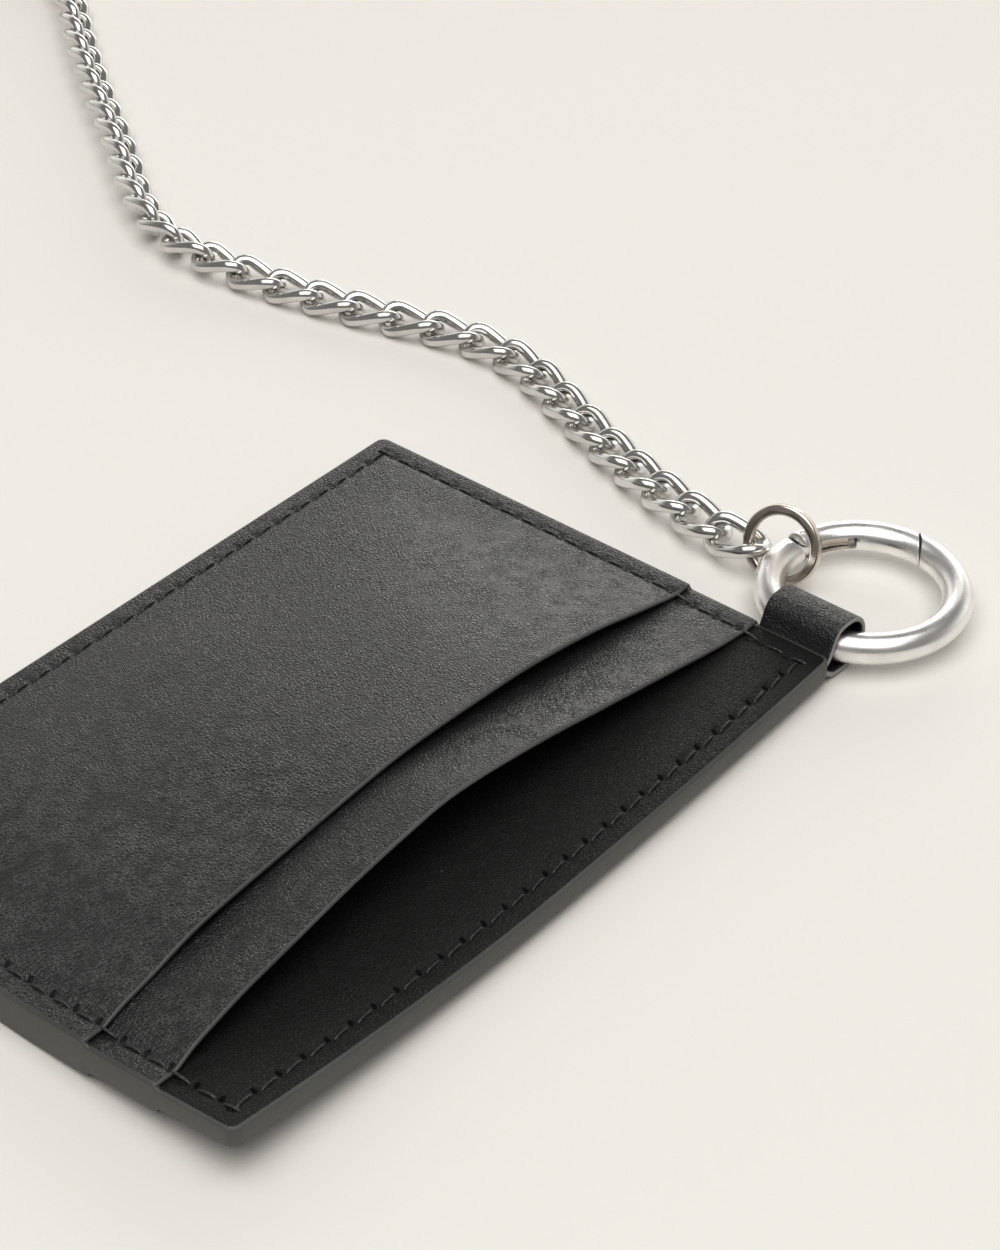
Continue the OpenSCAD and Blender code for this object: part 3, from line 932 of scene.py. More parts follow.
@dataclass
class HolderShape:
    """How the leather of the holder lies: its sizes, its bowed slots and its lifted corner."""

    half_w: float
    half_h: float
    base_top: float
    ply: float
    inner_mouth: float
    outer_mouth: float
    corner_r: float = 1.1
    seam: float = 2.6
    pitch: float = 3.4
    inner_bow: float = 6.6
    outer_bow: float = 5.8
    inner_scoop: float = 2.0
    outer_scoop: float = 0.9
    corner_lift: float = 3.2
    lift_from: float = 5.0
    edge_bulge: float = 0.9
    fullness: float = 0.34
    fullness_width: float = 1.6
    groove_depth: float = 0.13
    groove_width: float = 0.55
    hole_depth: float = 0.42
    hole_width: float = 0.40

    def __post_init__(self) -> None:
        """Fixes the curves of the two mouths."""
        self.inner_arch = profile([
            (-47.5, 0.0), (-43.0, 0.04), (-34.0, 0.25), (-23.0, 0.51), (-10.0, 0.81), (3.0, 1.0),
            (11.0, 0.94), (20.0, 0.79), (29.0, 0.58), (37.0, 0.38), (44.0, 0.14), (47.5, 0.0),
        ])
        self.outer_arch = profile([
            (-47.5, 0.0), (-42.0, 0.16), (-32.0, 0.54), (-21.0, 0.81), (-11.0, 0.93), (-1.0, 1.0),
            (6.0, 0.97), (18.0, 0.80), (33.0, 0.55), (42.0, 0.18), (47.5, 0.0),
        ])

    @classmethod
    def from_frame(cls) -> "HolderShape":
        """Reads the holder's sizes from the frame.

        Returns:
            The holder's shape.
        """
        high = box_mm("front_base_panel")[1]
        inner = box_mm("front_inner_pocket")[1]
        outer = box_mm("front_outer_pocket")[1]
        rear = box_mm("rear_outer_pocket")
        return cls(
            half_w=high.x, half_h=high.y, base_top=high.z, ply=rear[1].z - rear[0].z,
            inner_mouth=inner.y, outer_mouth=outer.y,
        )

    def lift(self, x: Grid, y: Grid) -> Grid:
        """How far the whole holder curls up towards its top right corner.

        Args:
            x: Places across the holder.
            y: Places up the holder.

        Returns:
            Heights to add there.
        """
        along = np.clip((x - self.lift_from) / (self.half_w - self.lift_from), 0.0, 1.2)
        up = np.clip((y - self.lift_from) / (self.half_h - self.lift_from), 0.0, 1.2)
        return self.corner_lift * along**1.6 * up**1.3

    def inside(self, x: Grid, y: Grid) -> Grid:
        """Distance inside the nearest seam."""
        return np.minimum(self.half_w - np.abs(x), self.half_h - np.abs(y)) - self.seam

    def puff(self, x: Grid, y: Grid) -> Grid:
        """Fullness of the leather between its seams."""
        inside = np.clip(self.inside(x, y), 0.0, None)
        return self.fullness * (1.0 - np.exp(-inside / self.fullness_width))

    def rise(self, y: Grid, mouth: float) -> Grid:
        """How open a slot is at a height on the holder, 1 at its mouth and 0 at the bottom seam."""
        low = self.seam - self.half_h
        return np.clip((y - low) / (mouth - low), 0.0, 1.15) ** 1.1

    def inner_height(self, x: Grid, y: Grid) -> Grid:
        """Height of the inner slot panel over its flat place."""
        return self.inner_bow * self.inner_arch(x) * self.rise(y, self.inner_mouth) + self.puff(x, y)

    def outer_height(self, x: Grid, y: Grid) -> Grid:
        """Height of the outer slot panel over its flat place."""
        own = self.outer_bow * self.outer_arch(x) * self.rise(y, self.outer_mouth) + self.puff(x, y)
        return soft_max(own, self.inner_height(x, y) + 0.03, 0.08) + self.swells(x, y)

    def swells(self, x: Grid, y: Grid) -> Grid:
        """Slow swells and dents of used leather, which fade out at the seams and the mouth.

        Args:
            x: Places across the holder.
            y: Places up the holder.

        Returns:
            Heights to add there.
        """
        fade = step(2.0, 12.0, self.inside(x, y)) * step(0.0, 6.0, self.outer_mouth - y)
        total = np.zeros_like(x)
        for cx, cy, size, height in SWELLS:
            total = total + height * np.exp(-((x - cx) ** 2 + (y - cy) ** 2) / (2.0 * size**2))
        return total * fade

    def front(self, x: Grid, y: Grid) -> Grid:
        """Height of the topmost leather at a place, without the lift.

        Args:
            x: Places across the holder.
            y: Places up the holder.

        Returns:
            The heights there.
        """
        base = self.base_top + 0.4 * self.puff(x, y)
        inner = self.base_top + self.ply + self.inner_height(x, y)
        outer = self.base_top + 2.0 * self.ply + self.outer_height(x, y)
        return np.where(y > self.inner_mouth, base, np.where(y > self.outer_mouth, inner, outer))

    def rear(self, y: Grid) -> Grid:
        """Height of the lowest leather at a place, without the lift."""
        return np.where(y > self.inner_mouth, 2.0, np.where(y > self.outer_mouth, 1.0, 0.0)) * self.ply

    def needle_marks(self, x: Grid, y: Grid) -> Grid:
        """Depth of the sewn groove and of the needle holes in it.

        Args:
            x: Places across the holder.
            y: Places up the holder.

        Returns:
            Depths to take away there.
        """
        deep = np.zeros_like(x)
        inside = step(-0.8, 0.0, self.inside(x, y))
        for across, along in (
            (self.half_h - self.seam - np.abs(y), x),
            (self.half_w - self.seam - np.abs(x), y),
        ):
            beat = np.mod(along + 0.5 * self.pitch, self.pitch) - 0.5 * self.pitch
            groove = self.groove_depth * np.exp(-((across / self.groove_width) ** 2))
            from_hole = (across / self.hole_width) ** 2 + (beat / self.hole_width) ** 2
            hole = self.hole_depth * np.exp(-from_hole)
            deep = np.maximum(deep, (groove + hole) * inside)
        return deep

    def settle(self, points: Grid, scoop: float = 0.0, mouth: float = 0.0,
               arch: Callable[[Grid], Grid] | None = None) -> Grid:
        """Moves points of the flat holder to where the worn holder has them.

        Args:
            points: Points of the flat holder, one row each.
            scoop: How far the middle of a slot's mouth falls back.
            mouth: That mouth's place.
            arch: The mouth's curve.

        Returns:
            The moved points.
        """
        moved = points.copy()
        x, y = points[:, 0], points[:, 1]
        moved[:, 2] += self.lift(x, y)
        moved[:, 1] += self.edge_bulge * (1.0 - (x / self.half_w) ** 2) * step(24.0, 35.0, y)
        if arch is not None:
            moved[:, 1] -= scoop * arch(x) * step(mouth - 14.0, mouth, y)
        return moved

    def rounded(self, points: Grid, top_corners: bool) -> Grid:
        """Rounds the holder's corners.

        Args:
            points: Points inside the holder's rectangle.
            top_corners: True if the panel reaches the top corners too.

        Returns:
            The points, with those at a corner pulled onto its arc.
        """
        moved = points.copy()
        r = self.corner_r
        q = np.abs(points[:, :2]) - np.array([self.half_w - r, self.half_h - r])
        at_corner = (q > 0).all(axis=1) & ((points[:, 1] < 0) | top_corners)
        length = np.linalg.norm(q[at_corner], axis=1)
        length[length == 0] = 1.0
        pulled = q[at_corner] * (q[at_corner].max(axis=1) / length)[:, None]
        base = np.array([self.half_w - r, self.half_h - r]) + pulled
        moved[at_corner, :2] = np.sign(points[at_corner, :2]) * base
        return moved


@dataclass
class Panel:
    """One ply of leather, from the bottom edge up to its top edge or mouth."""

    name: str
    node: str
    top_y: float
    over: Callable[[Grid, Grid], Grid]
    under: Callable[[Grid, Grid], Grid]
    arch: Callable[[Grid], Grid] | None = None
    scoop: float = 0.0
    grid_mm: float = 0.55
    inset: float = 0.0
    rim_steps: int = 4

    def columns(self, shape: HolderShape, edge: float) -> tuple[Grid, Grid]:
        """Grid lines across and up the panel, the first and last at its edge.

        Args:
            shape: The holder's shape.
            edge: How far the grid stops short of the panel's edge.

        Returns:
            Places of the lines across and of the lines up.
        """
        w, low = shape.half_w - edge - self.inset, -shape.half_h + edge + self.inset
        high = self.top_y - edge
        across = np.linspace(-w, w, int(round(2.0 * w / self.grid_mm)) + 1)
        up = np.linspace(low, high, int(round((high - low) / self.grid_mm)) + 1)
        return across, up

    def build(self, shape: HolderShape, finishes: Sequence[bpy.types.Material]) -> bpy.types.Object:
        """Builds the panel as a closed sheet with a rounded, painted edge.

        Args:
            shape: The holder's shape.
            finishes: Leather, then edge paint.

        Returns:
            The panel.
        """
        half = 0.5 * shape.ply
        across, up = self.columns(shape, half)
        nx, ny = len(across), len(up)
        x, y = (g.ravel() for g in np.meshgrid(across, up))
        over = np.column_stack([x, y, self.over(x, y)])
        under = np.column_stack([x, y, self.under(x, y)])
        loop = np.concatenate([
            np.arange(nx), np.arange(1, ny) * nx + nx - 1,
            (ny - 1) * nx + np.arange(nx - 2, -1, -1), np.arange(ny - 2, 0, -1) * nx,
        ])
        n = len(loop)
        outward = np.column_stack([
            np.where(x[loop] >= across[-1], 1.0, np.where(x[loop] <= across[0], -1.0, 0.0)),
            np.where(y[loop] >= up[-1], 1.0, np.where(y[loop] <= up[0], -1.0, 0.0)),
        ])
        outward /= np.linalg.norm(outward, axis=1)[:, None] ** 0.5
        rims = []
        for k in range(1, self.rim_steps):
            turn = math.pi * k / self.rim_steps
            rim = 0.5 * (over[loop] + under[loop])
            rim[:, 2] += 0.5 * (over[loop, 2] - under[loop, 2]) * math.cos(turn)
            rim[:, :2] += outward * half * math.sin(turn)
            rims.append(rim)
        points = np.vstack([over, under, *rims])
        points = shape.rounded(points, self.top_y > shape.inner_mouth + 1.0)
        flat = points * MM
        points = shape.settle(points, self.scoop, self.top_y, self.arch)
        i, j = (g.ravel() for g in np.meshgrid(np.arange(nx - 1), np.arange(ny - 1)))
        a = j * nx + i
        face = np.column_stack([a, a + 1, a + nx + 1, a + nx])
        faces = [face, (face + nx * ny)[:, ::-1]]
        loops = [loop, *(2 * nx * ny + k * n + np.arange(n) for k in range(len(rims))), loop + nx * ny]
        rim_count = 0
        for first, second in zip(loops, loops[1:]):
            faces.append(np.column_stack([first, second, np.roll(second, -1), np.roll(first, -1)]))
            rim_count += n
        all_faces = np.vstack(faces)
        slots = np.zeros(len(all_faces), np.int32)
        slots[len(all_faces) - rim_count:] = 1
        made = mesh_object(self.name, points, all_faces.tolist(), finishes, slots)
        flat_place = made.data.attributes.new(FLAT_PLACE, "FLOAT_VECTOR", "POINT")
        flat_place.data.foreach_set("vector", flat.astype(np.float32).ravel())
        return made


@dataclass
class SeamWalk:
    """The line that the needle takes round the holder."""

    half_w: float
    half_h: float

    def corners(self) -> list[tuple[float, float]]:
        """The seam's corners, from the top left one rightwards.

        Returns:
            Place across and place up of each corner.
        """
        return [
            (-self.half_w, self.half_h), (self.half_w, self.half_h),
            (self.half_w, -self.half_h), (-self.half_w, -self.half_h),
        ]

    def stitches(self, pitch: float) -> list[tuple[float, float, float]]:
        """Middle and heading of each stitch, between the needle holes.

        Args:
            pitch: Distance from hole to hole.

        Returns:
            Place across, place up, and heading of each stitch.
        """
        found = []
        ends = self.corners()
        for (x0, y0), (x1, y1) in zip(ends, ends[1:] + ends[:1]):
            length = max(abs(x1 - x0), abs(y1 - y0))
            heading = math.atan2(y1 - y0, x1 - x0)
            half_count = int((0.5 * length - 0.5 * pitch) / pitch)
            for k in range(-half_count - 1, half_count + 1):
                t = 0.5 + (k + 0.5) * pitch / length
                found.append((x0 + (x1 - x0) * t, y0 + (y1 - y0) * t, heading))
        return found


@dataclass
class Holder:
    """The stitched leather holder."""

    shape: HolderShape
    finishes: Finishes
    body: str = "holder"
    stitch_l: float = 2.9
    thread_d: float = 0.42
    slant: float = 0.09

    def panels(self) -> list[Panel]:
        """The plies, from the front to the back.

        Returns:
            One panel for each ply.
        """
        s = self.shape
        ply, base = s.ply, s.base_top
        core_low, core_high = box_mm("core_stiffener")
        rear_top = box_mm("rear_base_panel")[1].z

        return [
            Panel(
                "Front_outer_pocket", "front_outer_pocket", s.outer_mouth,
                lambda x, y: base + 2.0 * ply + s.outer_height(x, y) - s.needle_marks(x, y),
                lambda x, y: base + ply + s.outer_height(x, y), s.outer_arch, s.outer_scoop, 0.5,
            ),
            Panel(
                "Front_inner_pocket", "front_inner_pocket", s.inner_mouth,
                lambda x, y: base + ply + s.inner_height(x, y) - s.needle_marks(x, y),
                lambda x, y: base + s.inner_height(x, y), s.inner_arch, s.inner_scoop,
            ),
            Panel(
                "Front_base", "front_base_panel", s.half_h,
                lambda x, y: base + 0.4 * s.puff(x, y) - s.needle_marks(x, y),
                lambda x, y: np.full_like(x, core_high.z) + 0.3 * s.puff(x, y), grid_mm=0.5,
            ),
            Panel(
                "Core_stiffener", "core_stiffener", core_high.y,
                lambda x, y: np.full_like(x, core_high.z - 0.02),
                lambda x, y: np.full_like(x, core_low.z + 0.02),
                grid_mm=3.0, inset=s.half_w - core_high.x,
            ),
            Panel(
                "Rear_base", "rear_base_panel", s.half_h,
                lambda x, y: np.full_like(x, rear_top),
                lambda x, y: np.full_like(x, 2.0 * ply) + s.needle_marks(x, y), grid_mm=0.6,
            ),
            Panel(
                "Rear_inner_pocket", "rear_inner_pocket", s.inner_mouth,
                lambda x, y: np.full_like(x, 2.0 * ply),
                lambda x, y: np.full_like(x, ply) + s.needle_marks(x, y), grid_mm=0.6,
            ),
            Panel(
                "Rear_outer_pocket", "rear_outer_pocket", s.outer_mouth,
                lambda x, y: np.full_like(x, ply),
                lambda x, y: s.needle_marks(x, y), grid_mm=0.6,
            ),
        ]

    def outline(self, step_mm: float = 0.5) -> Grid:
        """The holder's outline, with its corners rounded.

        Args:
            step_mm: Distance between the points of a straight side.

        Returns:
            A row for each point: its place across and up, and the way outwards there.
        """
        r, w, h = self.shape.corner_r, self.shape.half_w, self.shape.half_h
        sides = [
            ((-w + r, -h), (w - r, -h), -90.0), ((w, -h + r), (w, h - r), 0.0),
            ((w - r, h), (-w + r, h), 90.0), ((-w, h - r), (-w, -h + r), 180.0),
        ]
        line = []
        for (x0, y0), (x1, y1), facing in sides:
            count = int(max(abs(x1 - x0), abs(y1 - y0)) / step_mm)
            nx, ny = math.cos(math.radians(facing)), math.sin(math.radians(facing))
            for t in (k / count for k in range(count + 1)):
                line.append((x0 + (x1 - x0) * t, y0 + (y1 - y0) * t, nx, ny))
            cx, cy = x1 - r * nx, y1 - r * ny
            for turn in (math.radians(facing + 15.0 * k) for k in range(1, 6)):
                out_x, out_y = math.cos(turn), math.sin(turn)
                line.append((cx + r * out_x, cy + r * out_y, out_x, out_y))
        return np.array(line)

    def edge_paint(self) -> bpy.types.Object:
        """The coat of paint that closes the plies' edges, all round the holder.

        Returns:
            The coat as one closed mesh.
        """
        x, y, nx, ny = self.outline().T
        over = self.stack_top(y) + 0.05
        under = self.stack_bottom(y) + 0.02
        middle = len(PAINT_OUT) // 2
        columns = []
        for k, (out, up) in enumerate(zip(PAINT_OUT, PAINT_UP)):
            if k == middle:
                z = 0.5 * (over + under)
            else:
                z = up + (over if k < middle else under)
            columns.append(np.column_stack([x + nx * out, y + ny * out, z]))
        points = self.shape.settle(np.stack(columns, axis=1).reshape(-1, 3))
        faces = ring_faces(len(x), len(PAINT_OUT), True)
        made = mesh_object("Edge_paint", points, faces, [self.finishes.side_edge])
        face_outwards(made)
        return made

    def past_mouths(self, y: Grid) -> Grid:
        """How many of a face's two slot panels end below a height, with soft steps.

        Args:
            y: Places up the holder.

        Returns:
            A number from 0 to 2 at each place.
        """
        s = self.shape
        return step(s.inner_mouth - 0.5, s.inner_mouth + 0.3, y) + step(
            s.outer_mouth - 0.5, s.outer_mouth + 0.3, y
        )

    def stack_top(self, y: Grid) -> Grid:
        """Top of the pressed plies at the holder's edge, with soft steps at the mouths."""
        return self.shape.base_top + (2.0 - self.past_mouths(y)) * self.shape.ply

    def stack_bottom(self, y: Grid) -> Grid:
        """Bottom of the pressed plies at the holder's edge."""
        return self.past_mouths(y) * self.shape.ply

    def stitch(self) -> bpy.types.Object:
        """One stitch: a short arc of thread whose ends dive into the needle holes.

        Returns:
            The stitch, at the origin.
        """
        rings, sides = 9, 8
        points = []
        for i in range(rings):
            t = 2.0 * i / (rings - 1) - 1.0
            centre = np.array([0.5 * self.stitch_l * t, 0.0, 0.10 - 0.50 * t**4])
            thick = 0.5 * self.thread_d * (1.0 - 0.35 * t**4)
            for j in range(sides):
                a = 2.0 * math.pi * j / sides
                points.append(centre + np.array([0.0, thick * math.cos(a), 0.8 * thick * math.sin(a)]))
        made = mesh_object("stitch_shape", np.array(points), ring_faces(rings, sides, False), [])
        face_outwards(made)
        return made

    def stitching(self, repeater: Repeater, side: Side) -> bpy.types.Object:
        """The stitches of one face of the holder.

        Args:
            repeater: The tree that copies the stitch.
            side: Which face.

        Returns:
            The stitches as one mesh.
        """
        s = self.shape
        shape = self.stitch()
        half = 1.2
        places, turns = [], []
        for x, y, heading in SeamWalk(s.half_w - s.seam, s.half_h - s.seam).stitches(s.pitch):
            along = np.array([-half, 0.0, half])
            ex, ey = x + along * math.cos(heading), y + along * math.sin(heading)
            if side is Side.FRONT:
                heights = s.front(ex, ey)
                z = max(heights[1], 0.5 * (heights[0] + heights[2])) - 0.10
            else:
                heights = s.rear(ey)
                z = min(heights[1], 0.5 * (heights[0] + heights[2])) + 0.28
            lifted = heights + s.lift(ex, ey)
            tilt = -math.atan2(lifted[2] - lifted[0], 2.0 * half)
            places.append(s.settle(np.array([[x, y, z]]))[0])
            turns.append((0.0 if side is Side.FRONT else math.pi, tilt, heading + self.slant))
        made = repeater.repeat(
            f"{side.value}_stitching", shape, places, turns, self.finishes.thread, spread=0.06, seed=4
        )
        bpy.data.objects.remove(shape)
        return made

    def build(self, repeater: Repeater) -> None:
        """Builds every piece of the holder and puts it on its body.

        Args:
            repeater: The tree that copies the stitches.
        """
        for panel in self.panels():
            # The base panels get the duller, darker copy of the leather, as painted shade.
            leather = self.finishes.inner_leather if "base" in panel.name else self.finishes.leather
            slot = Slot.BOARD if panel.node == "core_stiffener" else Slot.LEATHER
            piece = panel.build(self.shape, [leather, self.finishes.edge])
            place(piece, self.body, slot, [panel.node])
        place(self.edge_paint(), self.body, Slot.LEATHER)
        for side in Side:
            piece = self.stitching(repeater, side)
            place(piece, self.body, Slot.THREAD, [f"{side.value.lower()}_stitching"])


@dataclass
class Tab:
    """The folded tab that holds the hoop in the side seam."""

    finishes: Finishes
    thick: float = 0.62
    edge_bulge: float = 0.12
    columns: int = 24
    body: str = "holder"

    def course(self) -> Grid:
        """The strip's middle line from the side: out on top, round the hoop and back below.

        Returns:
            A row for each point: its place across and its height.
        """
        low, high = box_mm("hoop_tab")
        left, top, bottom = low.x, high.z, low.z
        half = 0.5 * self.thick
        mid = 0.5 * (top + bottom)
        reach = 0.5 * (top - bottom) - half
        centre = left + 0.5 * (top - bottom)
        out = [
            (-44.5, 2.95), (-48.0, 2.95), (-49.9, 3.25), (-50.7, 4.5), (-51.4, 5.9),
            (-52.4, top - half - 0.05),
        ]
        back = [
            (-52.4, bottom + half + 0.02), (-51.2, bottom + half + 0.25), (-50.2, 1.5),
            (-49.4, 2.15), (-48.0, 2.3), (-44.5, 2.3),
        ]
        fold = []
        for turn in (math.radians(90.0 + 15.0 * k) for k in range(13)):
            fold.append((centre + reach * math.cos(turn), mid + reach * math.sin(turn)))
        return np.array(out + fold + back)

    def section(self, half_w: float) -> list[tuple[float, float]]:
        """The strip's section, flat above and below and round at both edges.

        Args:
            half_w: Half the strip's width.

        Returns:
            Place across the strip and height of each point.
        """
        half_t = 0.5 * self.thick
        spread = np.linspace(-1.0, 1.0, self.columns)
        shoulder, crest = half_w + self.edge_bulge - 0.02, half_w + self.edge_bulge
        edge = [(shoulder, 0.55 * half_t), (crest, 0.0), (shoulder, -0.55 * half_t)]
        top = [(half_w * v, half_t) for v in spread] + edge
        return top + [(-v, -t) for v, t in top]

    def build(self) -> None:
        """Builds the tab and puts it on its body."""
        low, high = box_mm("hoop_tab")
        mid_y = 0.5 * (low.y + high.y)
        path = smooth_line(self.course(), 4)
        along = np.gradient(path, axis=0)
        along /= np.linalg.norm(along, axis=1)[:, None]
        normal = np.column_stack([-along[:, 1], along[:, 0]])
        section = self.section(0.5 * (high.y - low.y))
        points = []
        for (px, pz), (nx, nz) in zip(path, normal):
            points += [(px + nx * t, mid_y + v, pz + nz * t) for v, t in section]
        sides = len(section)
        half_round = sides // 2
        # The strip's cut edges get the light grey painted highlight.
        cut_faces = set(range(self.columns - 1, self.columns + 3))
        cut_faces |= set(range(half_round + self.columns - 1, sides))
        slots = [int(k % sides in cut_faces) for k in range((len(path) - 1) * sides)] + [1, 1]
        dress = [self.finishes.leather, self.finishes.cut_edge]
        faces = ring_faces(len(path), sides, False)
        piece = mesh_object("Hoop_tab", np.array(points), faces, dress, slots)
        face_outwards(piece)
        place(piece, self.body, Slot.LEATHER, ["hoop_tab"])


# ---- Chain -------------------------------------------------------------------------------


@dataclass
class Chain:
    """The curb chain: its course, its links, and the pairs that move together."""

    finishes: Finishes
    start: Point = (-62.7, 15.1, 3.7)
    pitch: float = 6.3
    wire: float = 1.7
    width: float = 6.0
    play: float = 0.3
    twist: float = -90.0
    pairs: int = 28

    def __post_init__(self) -> None:
        """Notes the places where the course bends, rolls and rises."""
        self.heading_at = [
            (0, -94), (1, -104), (2, -108), (4, -111), (6, -113), (7, -112), (8, -103), (9, -90),
            (10, -79), (11, -74), (13, -78), (15, -82), (16, -85), (17, -93), (18, -104), (19, -118),
            (21, -126), (24, -123), (30, -128), (33, -112), (43, 26), (46, 46), (56, 46),
        ]
        self.roll_at = [(0, -20), (2, -6), (4, 0), (15, 0), (19, 50), (54, 50), (55, 45)]
        self.height_at = [
            (0, 3.7), (1, 3.1), (2, 2.9), (3, 2.5), (4, 2.1), (5, 1.9), (15, 1.9), (17, 2.6),
            (19, 3), (54, 3), (56, 3.3),
        ]

    @staticmethod
    def look_up(k: float, table: Sequence[tuple[float, float]]) -> float:
        """Value of a table at link k, straight between its entries."""
        return float(np.interp(k, [row[0] for row in table], [row[1] for row in table]))

    def slope(self, k: int) -> float:
        """Rise of link k, in radians."""
        rise = self.look_up(k + 1, self.height_at) - self.look_up(k, self.height_at)
        return math.asin(rise / self.pitch)

    def joints(self) -> list[np.ndarray]:
        """The points between the links, from the jump ring on.

        Returns:
            The points, in millimetres.
        """
        found = [np.array(self.start)]
        for k in range(2 * self.pairs):
            heading = math.radians(self.look_up(k, self.heading_at))
            slope = self.slope(k)
            way = np.array([
                math.cos(slope) * math.cos(heading), math.cos(slope) * math.sin(heading), math.sin(slope)
            ])
            found.append(found[-1] + self.pitch * way)
        return found

    @property
    def half_l(self) -> float:
        """Half the length of a link, along the middle of its wire."""
        return 0.5 * (self.pitch + self.wire + self.play)

    @property
    def bend_r(self) -> float:
        """Radius of a link's round ends, along the middle of its wire."""
        return 0.5 * (self.width - self.wire)

    def oval(self, s: float) -> tuple[float, float]:
        """A long oval with round ends, s millimetres along it.

        Args:
            s: Distance along the oval's line.

        Returns:
            Place along the link and place across it.
        """
        b = self.bend_r
        straight, arc = 2.0 * (self.half_l - b), math.pi * b
        if s < straight:
            return s - 0.5 * straight, -b
        s -= straight
        if s < arc:
            return 0.5 * straight + b * math.sin(s / b), -b * math.cos(s / b)
        s -= arc
        if s < straight:
            return 0.5 * straight - s, b
        s -= straight
        return -0.5 * straight - b * math.sin(s / b), b * math.cos(s / b)

    def link(self) -> bpy.types.Object:
        """One curb link: a round wire bent to an oval and twisted about the chain's length.

        Returns:
            The link, at the origin.
        """
        rings, sides = 44, 12
        length = 4.0 * (self.half_l - self.bend_r) + 2.0 * math.pi * self.bend_r
        middle = []
        for i in range(rings):
            x, y = self.oval(length * i / rings)
            turn = math.radians(0.5 * self.twist) * x / self.half_l
            middle.append((x, y * math.cos(turn), y * math.sin(turn)))
        line = np.array(middle)
        along = np.roll(line, -1, axis=0) - np.roll(line, 1, axis=0)
        along /= np.linalg.norm(along, axis=1)[:, None]
        out = line * np.array([0.4, 1.0, 1.0])
        out -= (out * along).sum(axis=1)[:, None] * along
        out /= np.linalg.norm(out, axis=1)[:, None]
        side = np.cross(along, out)
        points = []
        for i in range(rings):
            for j in range(sides):
                turn = 2.0 * math.pi * j / sides
                round_way = math.cos(turn) * out[i] + math.sin(turn) * side[i]
                points.append(line[i] + 0.5 * self.wire * round_way)
        made = mesh_object("link_shape", np.array(points), ring_faces(rings, sides, True), [])
        face_outwards(made)
        return made

    def build(self, repeater: Repeater) -> None:
        """Builds each pair of links and puts it on its body.

        Args:
            repeater: The tree that copies the links.
        """
        joints = self.joints()
        shape = self.link()
        for pair in range(1, self.pairs + 1):
            places, turns = [], []
            for k in (2 * pair - 2, 2 * pair - 1):
                places.append(0.5 * (joints[k] + joints[k + 1]))
                turns.append((
                    math.radians(self.look_up(k, self.roll_at)), -self.slope(k),
                    math.radians(self.look_up(k, self.heading_at)),
                ))
            node = f"links_{pair:02d}"
            piece = repeater.repeat(f"Links_{pair:02d}", shape, places, turns, self.finishes.chain)
            place(piece, node, Slot.POLISHED, [node])
        bpy.data.objects.remove(shape)


# ---- Rings and clasp ---------------------------------------------------------------------


@dataclass
class TurnedPart:
    """A metal part that keeps the frame's exact shape, with its sharp edges broken."""

    node: str
    name: str
    body: str
    slot: Slot
    finish: bpy.types.Material
    # Material that paints the slit's faces dark, as the shade in the slit.
    cut: bpy.types.Material | None = None
    bevel_mm: float = 0.08
    cut_play_mm: float = 0.42
    flat_deg: float = 0.5
    bevel_deg: float = 35.0
    sharp_deg: float = 38.0

    def mark_slit_shade(self, mesh: bpy.types.Mesh) -> None:
        """Paints the faces of the gate's slit dark, as the shade in the slit.

        Args:
            mesh: The part's mesh. The slit is a cylinder round the gate's pin.
        """
        low, high = box_mm("gate_pin")
        pin = 0.5 * (low + high)
        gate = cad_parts["gate_arm"].data.vertices
        reach = max(math.hypot(v.co.x / MM - pin.x, v.co.y / MM - pin.y) for v in gate)
        mesh.materials.append(self.cut)
        for face in mesh.polygons:
            corners = [mesh.vertices[k].co / MM for k in face.vertices]
            far = [math.hypot(c.x - pin.x, c.y - pin.y) - reach for c in corners]
            if min(far) > -0.02 and max(far) < self.cut_play_mm:
                face.material_index = 1

    def build(self) -> None:
        """Copies the node, merges its corners, breaks its edges and puts it on its body."""
        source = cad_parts[self.node]
        mesh = source.data.copy()
        mesh.name = self.name
        mesh.materials.clear()
        mesh.materials.append(self.finish)
        work = bmesh.new()
        work.from_mesh(mesh)
        bmesh.ops.remove_doubles(work, verts=work.verts, dist=1e-6)
        bmesh.ops.dissolve_limit(
            work, angle_limit=math.radians(self.flat_deg), verts=work.verts, edges=work.edges
        )
        work.to_mesh(mesh)
        work.free()
        if self.cut:
            self.mark_slit_shade(mesh)
        shade_smooth(mesh)
        piece = add_object(self.name, mesh)
        bevel = piece.modifiers.new("broken_edge", "BEVEL")
        bevel.width = self.bevel_mm * MM
        bevel.segments = 2
        bevel.limit_method = "ANGLE"
        bevel.angle_limit = math.radians(self.bevel_deg)
        bevel.harden_normals = False
        dressed = evaluated_mesh(piece)
        piece.modifiers.clear()
        piece.data = dressed
        piece.data.set_sharp_from_angle(angle=math.radians(self.sharp_deg))
        place(piece, self.body, self.slot, [self.node])


@dataclass
class Hoop:
    """The hoop with its spring gate."""

    finishes: Finishes

    def build(self) -> None:
        """Builds the hoop, and the gate with its pin and its spring."""
        # cut is the dark finish that paints shade on the slit's faces.
        plated, cut = self.finishes.hoop, self.finishes.cut_steel
        TurnedPart("hoop_body", "Hoop", "hoop", Slot.SATIN, plated, cut).build()
        TurnedPart("gate_arm", "Gate", "gate", Slot.SATIN, plated, cut).build()
        TurnedPart("gate_pin", "Gate_pin", "gate", Slot.SATIN, plated).build()
        TurnedPart("gate_spring", "Gate_spring", "gate", Slot.SPRING, self.finishes.spring).build()


